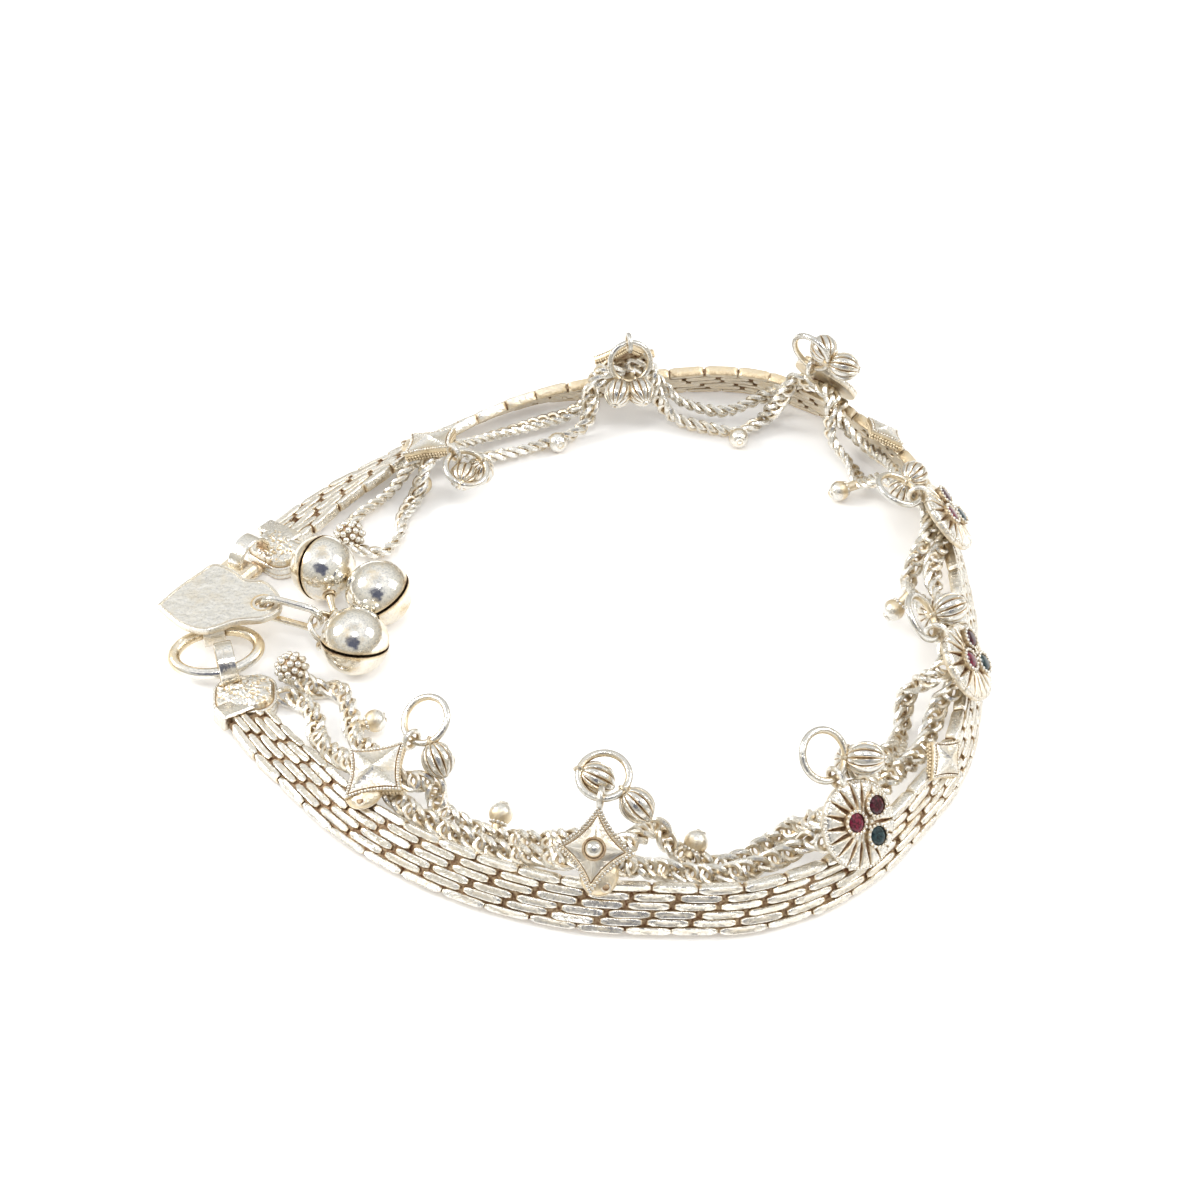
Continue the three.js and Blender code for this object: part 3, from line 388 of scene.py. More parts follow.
def lofted(outline, levels):
    """A body through an outline scaled to each level's share, at its height and with its tarnish and painted
    shade.
    """
    return stacked([level(outline * share, height) for share, height, _ in levels],
                   [np.broadcast_to(stain_and_shade, len(outline)) for _, _, stain_and_shade in levels])


def tube(points, tarnish_and_shade=0.0):
    """A body through sections that go round in a closed loop."""
    return Form(points, grid_faces(*np.shape(points)[:2], wrap_rows=True), tarnish_and_shade)


def swept(path, side, other, section):
    """A section's points at each place of a path, laid out along the place's two directions."""
    return path[:, None] + side[:, None] * section[None, :, :1] + other[:, None] * section[None, :, 1:]


def closed_run(path):
    """The unit direction ahead at each point of a closed path."""
    return unit(np.roll(path, -1, axis=0) - np.roll(path, 1, axis=0))


def circle(count):
    return directions(np.arange(count) * 2 * math.pi / count)


def ring_form(radius, wire, around, sides, stretch=(1.0, 1.0)):
    """A ring about Z. Its inside is a little tarnished."""
    loop, section = circle(around)[:, None], circle(sides)
    points = np.empty((around, sides, 3))
    points[:, :, :2] = loop * (np.multiply(radius, stretch) + wire * section[:, :1])
    points[:, :, 2] = wire * section[:, 1]
    return tube(points, np.tile(smoothstep(0.1, 1.0, -section[:, 0]) * 0.55, around))


def ball_form(radius, rows, columns):
    """A ball with its poles on Z."""
    angles = math.pi * np.arange(1, rows) / rows
    rings = [level(circle(columns) * math.sin(angle), -math.cos(angle)) for angle in angles]
    points = np.vstack([[(0, 0, -1)], *rings, [(0, 0, 1)]]) * radius
    top = len(points) - 1
    base = top - columns
    faces = [(0, 1 + (j + 1) % columns, 1 + j) for j in range(columns)]
    faces += [tuple(1 + i for i in face) for face in grid_faces(rows - 1, columns)]
    faces += [(base + j, base + (j + 1) % columns, top) for j in range(columns)]
    return Form(points, faces)


def unit_granule():
    mesh = bmesh.new()
    bmesh.ops.create_icosphere(mesh, subdivisions=2, radius=1.0)
    faces = [[vert.index for vert in face.verts] for face in mesh.faces]
    granule = Form([tuple(vert.co) for vert in mesh.verts], faces)
    mesh.free()
    return granule


GRANULE = unit_granule()


def granules(places, radius, seated=False):
    """Tiny balls. Seated ones are tarnished below, near the sheet they sit on."""
    points = GRANULE.points * radius + np.reshape(places, (-1, 1, 3))
    faces = [tuple(i + row * len(GRANULE.points) for i in face)
             for row in range(len(points)) for face in GRANULE.faces]
    stain_and_shade = np.tile(smoothstep(0.2, -0.9, GRANULE.points[:, 2]), len(points)) if seated else 0.0
    return Form(points, faces, stain_and_shade)


def resampled(path, step, closed=False):
    """Even steps along a path."""
    path = np.vstack([path, path[:1]]) if closed else np.asarray(path)
    along = distances(path)
    count = max(round(along[-1] / step), 3)
    marks = np.linspace(0, along[-1], count if closed else count + 1, endpoint=not closed)
    return np.stack([np.interp(marks, along, column) for column in path.T], -1)


def rod_form(start, end, radius, end_radius):
    """A tapered rod from place to place."""
    length = np.linalg.norm(end - start)
    levels = [(radius, 0, 0), ((radius + end_radius) / 2, length / 2, 0), (end_radius, length, 0)]
    return lofted(circle(10), levels).under(aim_matrix(end - start, start))


# ---- from forms to pieces ----

def add_object(name, data):
    thing = bpy.data.objects.new(name, data)
    bpy.context.scene.collection.objects.link(thing)
    return thing


def add_piece(name, form, material, replaces=None, crease=38):
    """Makes the form a piece of the scene, in the frame's metres."""
    mesh = bpy.data.meshes.new(name)
    mesh.from_pydata(((form.points + PLAN_SHIFT) * MM).tolist(), [], form.faces)
    mesh.validate()
    mesh.materials.append(material)
    mesh.attributes.new("tarnish_and_shade", "FLOAT", "POINT").data.foreach_set("value", form.tarnish_and_shade)
    mesh.shade_smooth()
    mesh.set_sharp_from_angle(angle=math.radians(crease))
    mesh.update()
    piece = add_object(name, mesh)
    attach(piece, "root")
    if replaces:
        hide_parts(replaces)


# ---- materials ----

BRIGHT_SILVER = (0.93, 0.92, 0.88)
DULL_SILVER = (0.86, 0.82, 0.73)
GREY_SPECK = (0.56, 0.56, 0.56)
# Tan and dark brown for tarnish, also laid on as painted shade where points are marked so.
TAN_STAIN_AND_SHADE = (0.78, 0.65, 0.44)
DARK_STAIN_AND_SHADE = (0.14, 0.045, 0.013)


def opaque(colour, share=1.0):
    return (*(part * share for part in colour), 1)


class Nodes:
    """Short calls for building the nodes of a material or a world."""

    def __init__(self, owner, shader="BSDF_PRINCIPLED"):
        owner.use_nodes = True
        self.tree = owner.node_tree
        self.shader = next(node for node in self.tree.nodes if node.type == shader)

    def feed(self, node, socket, value):
        """Gives a socket a plain value, or links an output to it."""
        if isinstance(value, bpy.types.NodeSocket):
            self.tree.links.new(value, node.inputs[socket])
        else:
            node.inputs[socket].default_value = value

    def fill(self, node, **values):
        """Sets a node's properties, and feeds its sockets."""
        for key, value in values.items():
            if hasattr(node, key):
                setattr(node, key, value)
            else:
                self.feed(node, key.replace("_", " "), value)
        return node

    def add(self, kind, **values):
        return self.fill(self.tree.nodes.new("ShaderNode" + kind), **values)

    def noise(self, scale, detail=3.0, roughness=0.5, place="Object"):
        place = self.add("TexCoord").outputs[place]
        node = self.add("TexNoise", Scale=scale, Detail=detail, Roughness=roughness, Vector=place)
        return node.outputs["Fac"]

    def range(self, value, low, high, to_low=0.0, to_high=1.0):
        node = self.add("MapRange", From_Min=low, From_Max=high, To_Min=to_low, To_Max=to_high, Value=value)
        return node.outputs["Result"]

    def maths(self, operation, *values):
        node = self.add("Math", operation=operation, use_clamp=operation == "ADD")
        for socket, value in enumerate(values):
            self.feed(node, socket, value)
        return node.outputs[0]

    def mix(self, share, first, second):
        node = self.add("Mix", data_type="RGBA")
        for socket, value in ((0, share), (6, first), (7, second)):
            self.feed(node, socket, value)
        return node.outputs[2]


def silver_material(name, polish, patches, crevice, grain, relief=0.00014, size=2800, tone=1.0):
    """Worn silver: tarnish in the crevices and in soft patches, and each point's tarnish and painted shade,
    over a bump of cast grain.
    """
    material = bpy.data.materials.new(name)
    nodes = Nodes(material)
    # Each point's darkening: tarnish, and in places painted shade.
    stain_and_shade = nodes.add("Attribute", attribute_name="tarnish_and_shade").outputs["Fac"]
    cloud = nodes.range(nodes.noise(420, 4.0, 0.6), 0.52, 0.78, 0.0, patches)
    hidden = nodes.add("AmbientOcclusion", samples=6, Distance=0.0007)
    shut_in = nodes.range(hidden.outputs["AO"], 0.75, 0.2, 0.0, crevice)
    break_up = nodes.range(nodes.noise(2600, 3.0, 0.6), 0.3, 0.7, 0.68, 1.0)
    mask = nodes.maths("MULTIPLY", nodes.maths("ADD", nodes.maths("ADD", stain_and_shade, cloud), shut_in), break_up)

    warm = nodes.mix(nodes.noise(900, 2.0), opaque(BRIGHT_SILVER, tone), opaque(DULL_SILVER, tone))
    speck = nodes.range(nodes.noise(4200, 4.0, 0.7), 0.47, 0.7, 0.0, 0.85)
    fresh = nodes.mix(speck, warm, opaque(GREY_SPECK))
    tan = nodes.mix(nodes.range(mask, 0.0, 0.5), fresh, opaque(TAN_STAIN_AND_SHADE))
    colour = nodes.mix(nodes.range(mask, 0.5, 1.0), tan, opaque(DARK_STAIN_AND_SHADE))
    rough = nodes.range(nodes.noise(1500, 3.0), 0.3, 0.7, polish, polish + 0.12)
    bump = nodes.add("Bump", Strength=grain, Distance=relief, Height=nodes.noise(size, 3.0, 0.55))
    nodes.fill(nodes.shader, Base_Color=colour, Metallic=1.0, Normal=bump.outputs["Normal"],
               Roughness=nodes.maths("ADD", rough, nodes.maths("MULTIPLY", mask, 0.35)))
    return material


def stone_material(name, deep, bright):
    """A dark glass stone: colour in soft specks below a glossy coat."""
    material = bpy.data.materials.new(name)
    nodes = Nodes(material)
    speck = nodes.range(nodes.noise(4200, 3.0, 0.7), 0.42, 0.7)
    nodes.fill(nodes.shader, Base_Color=nodes.mix(speck, opaque(deep), opaque(bright)), Roughness=0.16,
               Coat_Weight=0.25, Coat_Roughness=0.04, IOR=1.4)
    return material


def floor_material():
    material = bpy.data.materials.new("floor")
    nodes = Nodes(material)
    nodes.fill(nodes.shader, Base_Color=opaque((0.93, 0.93, 0.93)), Roughness=0.9, Specular_IOR_Level=0.0,
               Emission_Color=opaque((1, 1, 1)), Emission_Strength=0.2)
    return material


CAST = silver_material("cast_silver", 0.2, 0.35, 0.8, 0.6, tone=0.9)
# Painted shade: a darker copy of the cast silver, standing in for the dark reflection on the boss plates.
SHADED_CAST = silver_material("shaded_cast_silver", 0.22, 0.35, 0.8, 0.5, tone=0.68)
WIRE = silver_material("silver_wire", 0.16, 0.25, 0.8, 0.3)
ROPE = silver_material("rope_silver", 0.2, 0.25, 0.5, 0.5, tone=0.93)
DROPPED = silver_material("drop_silver", 0.14, 0.3, 0.8, 0.4, tone=0.76)
POLISHED = silver_material("polished_silver", 0.08, 0.45, 0.8, 0.15, tone=0.95)
STAMPED = silver_material("stamped_silver", 0.26, 0.3, 0.6, 0.75, relief=0.00024, size=1000, tone=0.97)
BELL = silver_material("bell_silver", 0.06, 0.75, 0.6, 0.3, relief=0.00008, size=1100)
LINKS = silver_material("silver_links", 0.2, 0.2, 0.75, 0.6, tone=0.96)
TARNISHED = silver_material("dark_tarnish", 0.35, 1.0, 1.0, 0.4)
WINE = stone_material("red_stone", (0.05, 0.004, 0.012), (0.30, 0.02, 0.06))
GARNET = stone_material("dark_red_stone", (0.02, 0.003, 0.006), (0.12, 0.015, 0.03))
TEAL = stone_material("teal_stone", (0.008, 0.018, 0.022), (0.03, 0.08, 0.09))
# A fan's stones, in the order of its bezels.
STONES = [("a", WINE, "red_stone"), ("c", TEAL, "teal_stone"), ("b", GARNET, "red_stone")]


# ---- the band ----

def tarnish_at(along):
    """The strap is worn bright on the side opposite the clasp."""
    return 1 - 0.5 * within(along, *BRIGHT_STRETCH)


def link_form(middle, across, roll, twist):
    """One oblong link, boxy with narrowed ends and a raised rim round a shallow dish on each face."""
    worn = tarnish_at(middle)
    loop = circle(16)
    boxy = np.sign(loop) * np.abs(loop) ** (0.55, 0.45) * (LINK_WIDE / 2, LINK_HIGH / 2)
    outward = np.sign(across) if abs(across) > EDGE_ROW else 0
    long = EDGE_LINK_LONG if outward else LINK_LONG
    edge_stain = 0.5 * within(middle, *STAINED_EDGE)
    rows, stains = [], []
    for share in LINK_SHARES:
        taper = 1 - 0.4 * smoothstep(0.72, 1.0, abs(share))
        side, high = (boxy * (taper, 0.72 + 0.28 * taper)).T
        inside = np.exp(-(side / 0.21) ** 4) * max(1 - abs(share / 0.8) ** 6, 0)
        inside = inside * (np.abs(high) > LINK_HIGH * 0.3)
        high = high - np.sign(high) * LINK_DISH * inside
        rows.append(on_band(middle + share * long / 2, across + side, high + roll * side + twist * share))
        between = smoothstep(0.56, 0.2, np.abs(high)) * (side * outward < 0.3)
        below = high < -0.2
        stains.append(np.where(below, 0.4, 0.8 * worn) * between + 0.2 * inside + 0.24 * below
                      + edge_stain * (side * outward > 0.3)
                      + (0.3 if outward else 0.8) * worn * (abs(share) > 0.95))
    return stacked(rows, stains)


def band_links():
    random = np.random.default_rng(LINK_SEED)
    pitch = BAND_LENGTH / LINK_PITCHES
    forms = []
    for across, phase in LINK_ROWS:
        for i in range(-1, LINK_PITCHES + 1):
            middle = (i + phase + 0.02) * pitch
            if -LINK_UNDER_CAP < middle < BAND_LENGTH + LINK_UNDER_CAP:
                forms.append(link_form(middle + random.normal(0, 0.05), across + random.normal(0, 0.02),
                                       random.normal(0, 0.13), random.normal(0, 0.06)))
    return together(*forms)


def band_core():
    """The dark sheet of woven wire seen between the links."""
    half_wide, half_high = BAND_WIDTH / 2 - 0.25, BAND_THICK / 2 - 0.35
    side, height = np.array([(-1, -1), (1, -1), (1, 1), (-1, 1)]).T
    rows = [on_band(along, side * half_wide, height * (half_high + 0.05 * abs(math.sin(along * 6.0))))
            for along in np.linspace(0, BAND_LENGTH, WEAVE_SECTIONS)]
    return stacked(rows, 1.0)


# ---- swags ----

def corner_of(name, tier, side, soldered=False):
    """Where a rope reaches a plate, or a little further in behind it, where its end is soldered."""
    x, y, z = CORNERS[MOTIFS[name][0]][tier]
    if soldered:
        x, y, z = x * 0.5, y * 0.8, z + 0.15
    return on_motif(name, (side * x, y, z))


def swag_path(start, end, route, tier):
    points = list(route)
    if start:
        points = [corner_of(start, tier, 1, soldered=True), corner_of(start, tier, 1), *points]
    if end:
        points += [corner_of(end, tier, -1), corner_of(end, tier, -1, soldered=True)]
    return np.array([catmull_rom(points, t) for t in np.linspace(0, 1, ROPE_SAMPLES)])


def curb_link():
    """An oval wire link bent so that the next one can lie through it."""
    loop, section = circle(20), circle(7)
    x, y = (loop * (ROPE_LONG, ROPE_RADIUS - ROPE_WIRE)).T
    path = np.column_stack([x, y, ROPE_BEND * x * y])
    ahead = closed_run(path)
    side = unit(np.cross(ahead, np.cross(path * (1, 3, 1), ahead)))
    inside = np.tile(smoothstep(0.1, -1.0, section[:, 0]), len(loop))
    return tube(swept(path, side, np.cross(ahead, side), section * ROPE_WIRE), 0.45 * inside)


def rope_form(path):
    """Curb chain: bent oval links lying through one another, face up and outwards, swaying a little."""
    path = resampled(path, ROPE_STEP)
    template = curb_link()
    links = []
    for i, (place, ahead) in enumerate(zip(path, unit(np.gradient(path, axis=0)))):
        facing = unit(0.8 * UP + 0.6 * unit(place * (1, 1, 0)))
        across = unit(np.cross(facing, ahead))
        sway = ROPE_TILT * math.sin(2 * math.pi * i * ROPE_STEP / ROPE_SWAY + place[0])
        across = across * math.cos(sway) + np.cross(ahead, across) * math.sin(sway)
        links.append(template.under(matrix_of(ahead, across, np.cross(ahead, across), place)))
    return together(*links)


def swag_ball(place, path):
    """A small ball with a beaded collar, on a stub from the rope."""
    nearest = path[np.argmin(np.linalg.norm(path - place, axis=1))]
    down = unit(place - nearest)
    ball = ball_form(BALL_RADIUS, 12, 18)
    ball.tarnish_and_shade = smoothstep(0.35, -0.1, ball.points @ down / BALL_RADIUS) * 0.5
    collar = granules(level(circle(11) * 0.72, -0.86), 0.2)
    seat = ring_form(0.4, 0.13, 18, 6).at((0, 0, BALL_RADIUS - 0.08))
    return together(ball.at(place), together(collar, seat).under(aim_matrix(down, place)),
                    rod_form(nearest, place - down * 0.8, 0.6, 0.5).stained_and_shaded(0.45))


def cluster(place):
    """A raspberry of granules at a swag's end."""
    count = 46
    heights = 1 - 2 * (np.arange(count) + 0.5) / count
    turns = np.arange(count) * math.pi * (3 - math.sqrt(5))
    places = level(directions(turns) * np.sqrt(1 - heights ** 2)[:, None], heights)
    core = ball_form(CLUSTER_RADIUS - 0.42, 10, 14).stained_and_shaded(1.0)
    return together(core, granules(places * (CLUSTER_RADIUS - 0.36), 0.38)).at(place)


def swag_form(tier, i):
    """A tier's rope from one stop to the next, with the ball and the cluster that an inner one may have."""
    start, end = [None, *STOPS, None][i - 1:i + 1]
    path = swag_path(start, end, SWAG_ROUTES[tier][i - 1], tier)
    forms = [rope_form(path)]
    if tier == "inner" and i in SWAG_BALLS:
        forms.append(swag_ball(SWAG_BALLS[i], path))
    if tier == "inner" and i in CLUSTERS:
        forms.append(cluster(CLUSTERS[i]))
    whole = together(*forms)
    # Links that lie on the table don't dip into it.
    whole.points[:, 2] = np.maximum(whole.points[:, 2], 0.0)
    return whole


# ---- motifs ----

def diamond_outline(size):
    """Four corners, joined by sides that are pulled in."""
    corners = np.array([(1, 0), (0, 1), (-1, 0), (0, -1)]) * (size["half_wide"], size["half_long"])
    t = DIAMOND_SHARES[:, None]
    sides = []
    for start, end in zip(corners, np.roll(corners, -1, axis=0)):
        pull = (start + end) / 2 * size["pull"]
        sides.append(start * (1 - t) ** 2 + pull * 2 * t * (1 - t) + end * t ** 2)
    return np.concatenate(sides)


def outline_beads(outline, height, spacing, radius, seated=True):
    return granules(resampled(level(outline, height), spacing, closed=True), radius, seated)


def diamond_wall(outline):
    """The tarnished frame of twisted wire and grains behind a plate, set in a little from its edge."""
    wall = lofted(outline, [(0.86, -0.62, 0.9), (0.9, -0.5, 0.9), (0.9, 0.05, 0.9)])
    grains = [outline_beads(outline * share, height, 0.34, 0.19, seated=False).stained_and_shaded(0.5)
              for share, height in ((0.92, -0.42), (0.95, -0.12))]
    return together(wall, *grains)


def diamond_form(size, rims=DIAMOND_RIMS, roof_shade=0.0):
    """A plate with a crisp four-sided roof inside its beaded rims."""
    outline = diamond_outline(size)
    thick = size["thick"]
    inner = min(share for share, _, _ in rims) - 0.09
    levels = [(0.97, 0.0, 0.8), (1.0, 0.1, 0.6), (1.0, thick - 0.06, 0.35), (0.99, thick, 0.1),
              (inner + 0.03, thick, 0.35), (inner, thick - 0.04, 0.85), (inner - 0.03, thick + 0.1, 0.1)]
    # The roof runs straight up its four ridges and sags between them.
    sag = 1 - np.abs(1 - 2 * np.tile(DIAMOND_SHARES, 4))
    for share in np.linspace(1, 0.02, 14)[1:]:
        roof = thick + 0.1 + (size["ridge"] - 0.1) * (1 - share) ** (1 + ROOF_SAG * sag)
        levels.append(((inner - 0.03) * share, roof, roof_shade + 0.25 * sag * share))
    beads = [outline_beads(outline * share, thick, spacing, radius) for share, spacing, radius in rims]
    return together(lofted(outline, levels), diamond_wall(outline), *beads)


def boss_form():
    top = DIAMOND["thick"] + DIAMOND["ridge"]
    # The roof of a boss plate is evenly darkened as painted shade.
    plate = diamond_form(DIAMOND, BOSS_RIMS, roof_shade=0.08)
    boss = ball_form(BOSS_RADIUS, 14, 22).at((0, 0, top - SINK))
    boss.tarnish_and_shade = smoothstep(top + 0.3, top, boss.points[:, 2])
    collar = ring_form(BOSS_RADIUS + 0.1, 0.14, 30, 6).at((0, 0, top - 0.22))
    return together(plate, boss, collar.stained_and_shaded(0.9))


def bezel_places():
    turns = np.radians(BEZEL_FIRST + np.array([0, 120, 240]))
    return level(directions(turns) * BEZEL_RING + (BEZEL_ASIDE, 0), 0)


def bezel_form(place):
    """A collar round a stone, ringed with granules."""
    levels = [(1.12, 0.4, 0.9), (1.14, BEZEL_TOP - 0.25, 0.6), (1.02, BEZEL_TOP - 0.12, 0.2),
              (0.9, BEZEL_TOP - 0.14, 0.3), (0.86, BEZEL_TOP - 0.45, 1.0)]
    beads = granules(level(circle(15) * 1.06, BEZEL_TOP - 0.14), 0.175, seated=True)
    return together(lofted(circle(28), levels), beads).at(place)


def stone_form(place):
    """An oval stone, faceted low round a flat table."""
    levels = [(0.8, BEZEL_TOP - 0.5, 0), (0.86, BEZEL_TOP - 0.2, 0), (0.62, BEZEL_TOP - 0.02, 0),
              (0.42, BEZEL_TOP + 0.03, 0)]
    return lofted(circle(16) * (0.92, 1.06), levels).at(place)


def fluted_loop(flutes, samples):
    """A circle, and how far each of its points lies from its nearest groove, in flutes."""
    phase = np.arange(flutes * samples) % samples / samples
    return circle(flutes * samples), np.minimum(phase, 1 - phase)


def fan_form():
    """A round domed plate of petals split by narrow dark grooves, with a beaded rim and three bezels."""
    loop, off_groove = fluted_loop(FAN_PETALS, PETAL_POINTS)
    wall = [0.0, 0.08, FAN_THICK - 0.1]
    levels = []
    for i, share in enumerate(FAN_SHARES):
        on_dome = i >= len(wall)
        window = on_dome * smoothstep(0.36, 0.46, share) * smoothstep(0.97, 0.91, share)
        groove = np.exp(-(off_groove / (0.22 - 0.15 * smoothstep(0.5, 0.88, share))) ** 2)
        notch = 1 - 0.02 * groove * (i < 4)
        dome = FAN_THICK + FAN_DOME * 0.85 * (1 - share) ** 0.9 + (0.16 - 0.34 * groove) * window
        stain_and_shade = 1.6 * groove * window * smoothstep(0.96, 0.72, share) + 0.35 * (i < 2)
        levels.append(((share * notch)[:, None], dome if on_dome else wall[i], stain_and_shade))
    size = np.array([FAN_WIDE, FAN_LONG])
    middle = granules([(0, 0, -0.1), (-0.36, 0.3, -0.25), (-0.3, -0.4, -0.25), (0.45, 0, -0.25)], 0.2)
    bezels = [bezel_form(place) for place in bezel_places()]
    beads = outline_beads(circle(120) * size * 0.965, FAN_THICK + 0.02, 0.36, 0.16)
    return together(lofted(loop * size, levels), beads, middle.at((BEZEL_ASIDE, 0, BEZEL_TOP)), *bezels)


def foot_form(half_long):
    """The curved tab under a motif: a rounded boat with a rolled edge, and an eyelet to one side with a dark
    blob in it, painted shade for its hole.
    """
    foot = ball_form(1.0, 14, 28).scaled(FOOT_WIDE, FOOT_LONG, FOOT_HIGH)
    foot.points[:, 2] += 0.12 * wrinkle(foot.points, 0.5, 2) - 0.06
    foot.tarnish_and_shade = 0.35 + 0.5 * smoothstep(0.5, -0.4, foot.points[:, 2])
    edge = ring_form(1.0, 0.09, 40, 6, stretch=(FOOT_WIDE - 0.02, FOOT_LONG - 0.02)).stained_and_shaded(0.3)
    # Painted shade: a flat dark blob stands in for the hole of the eyelet.
    hole_shade = ball_form(0.36, 8, 14).scaled(1, 1, 0.4).stained_and_shaded(2.0)
    eyelet = together(ring_form(0.4, 0.13, 20, 6).stained_and_shaded(0.2), hole_shade).at((0.75, -1.1, FOOT_HIGH * 0.66))
    return together(foot, edge, eyelet).at((FOOT_ASIDE, FOOT_LONG - half_long - SINK + 0.25, -FOOT_LOW))


def eye_height(half_long):
    return half_long + EYE_RADIUS - SINK


def eye_form(half_long):
    turned = matrix_of((0, 0, -1), (0, 1, 0), (1, 0, 0), (0, eye_height(half_long), 0))
    return ring_form(EYE_RADIUS, EYE_WIRE, 26, 8).under(turned)


def clear_of_band(form, along):
    """Presses whatever would enter the band flat against its face."""
    centre, _, across, face = band_frame(along)
    offset = form.points - centre
    side, out = offset @ across, offset @ face
    floor = BAND_THICK / 2 + 0.12
    inside = (np.abs(side) < BAND_WIDTH / 2 + 0.2) & (out < floor)
    form.points[inside] += face * (floor - out[inside])[:, None]
    return form


def motif_form(name):
    kind, along, _, _ = MOTIFS[name]
    if kind == "small":
        form = diamond_form(SMALL_DIAMOND, SMALL_RIMS)
    else:
        plate = {"diamond": lambda: diamond_form(DIAMOND), "boss": boss_form, "fan": fan_form}[kind]()
        form = together(plate, foot_form(HALF_LONG[kind]), eye_form(HALF_LONG[kind]))
    return clear_of_band(form.under(motif_matrix(name)), along)


# ---- drops ----

def fluted_bead():
    """A melon bead about Z, with dark grooves that run from pole to pole, and a loop at its near end."""
    loop, off_groove = fluted_loop(BEAD_FLUTES, FLUTE_POINTS)
    groove = np.exp(-(off_groove / 0.13) ** 2)
    levels = []
    for angle in math.pi * np.linspace(0.05, 0.95, 15):
        depth = smoothstep(0.15, 0.5, math.sin(angle))
        radius = BEAD_RADIUS * math.sin(angle) * (1 - 0.14 * groove * depth)
        levels.append((radius[:, None], -BEAD_LONG * math.cos(angle), groove ** 2 * depth * 1.4))
    near = ring_form(0.34, 0.16, 18, 6).at((0, 0, -BEAD_LONG))
    far = ring_form(0.26, 0.14, 16, 6).at((0, 0, BEAD_LONG - 0.02))
    return together(lofted(loop, levels), near.stained_and_shaded(0.5), far)


def drop_form(on, hang, beads):
    """A jump ring through a plate's eye, with its fluted beads."""
    height = eye_height(HALF_LONG[MOTIFS[on][0]])
    eye = on_motif(on, (0, height, 0))
    eye_axis = on_motif(on, (1, height, 0)) - eye
    to_ring = square_to(hang, eye_axis)
    ring_axis = np.cross(to_ring, eye_axis)
    centre = eye + to_ring * DROP_RADIUS
    ring = ring_form(DROP_RADIUS, DROP_WIRE, 52, 10)
    forms = [ring.under(matrix_of(to_ring, eye_axis, ring_axis, centre))]
    for bead in beads:
        flat = square_to(bead - centre, ring_axis)
        root = centre + flat * DROP_RADIUS
        outward = unit(bead - root)
        forms.append(fluted_bead().under(aim_matrix(outward, root + outward * BEAD_REACH)))
        loop_axis = unit(np.cross(flat, ring_axis))
        side = unit(np.cross(loop_axis, outward))
        collar = ring_form(0.44, 0.15, 18, 6).stained_and_shaded(0.3)
        forms.append(collar.under(matrix_of(side, np.cross(loop_axis, side), loop_axis, root)))
    return together(*forms)


# ---- the clasp ----

def rounded_outline(half_x, half_y, corner, per_corner):
    """A rectangle in plan with its corners rounded."""
    corners = []
    for turn, signs in enumerate(((1, 1), (-1, 1), (-1, -1), (1, -1))):
        angles = (turn + np.linspace(0, 1, per_corner)) * math.pi / 2
        corners.append(np.multiply(signs, (half_x - corner, half_y - corner)) + corner * directions(angles))
    return np.concatenate(corners)


def box_form(long, wide, high, bevel=0.18):
    """A box about the origin with its edges rounded, as closed rings up its height."""
    half = np.array([long, wide]) / 2
    drawn_in = (half - bevel) / half
    top = high / 2
    levels = [(drawn_in, -top, 0), (1, bevel - top, 0), (1, top - bevel, 0), (drawn_in, top, 0)]
    return lofted(rounded_outline(*half, bevel, 5), levels)


def wrinkle(points, size, seed):
    """Ridged noise at each point of a worn sheet, highest at 1."""
    places = [Vector(point) / size + Vector((seed, 0, 0)) for point in points]
    return np.array([1 - abs(noise.noise(place)) * 2.2 for place in places])


def cushion_form(seed):
    """A cap's cushion, with a worn relief on its top."""
    outline = resampled(rounded_outline(CAP_ACROSS, CAP_ALONG, CAP_CORNER, 14), 0.17, closed=True)
    levels = [(0.985, 0.0, 0.6), (1.0, 0.12, 0), (1.0, 0.55, 0), (0.985, 0.62, 0.7), (1.0, 0.7, 0),
              (1.0, CAP_WALL - 0.1, 0), (0.985, CAP_WALL, 0), (0.93, CAP_WALL + 0.06, 0),
              (0.9, CAP_WALL + 0.02, 0.9)]
    first = len(levels) * len(outline)
    levels += [(0.86, CAP_WALL + 0.25, 0)]
    levels += [(share, CAP_TOP - (CAP_TOP - CAP_SHOULDER + 0.2) * share ** 2.2, 0)
               for share in np.linspace(0.83, 0.02, 20)]
    cushion = lofted(outline, levels)
    top = cushion.points[first:]
    relief = wrinkle(top, 0.36, seed)
    top[:, 2] += 0.13 * relief + 0.1 * wrinkle(top, 0.95, seed + 5) - 0.12
    cushion.tarnish_and_shade[first:] = 0.7 * smoothstep(0.45, -0.1, relief)
    return cushion


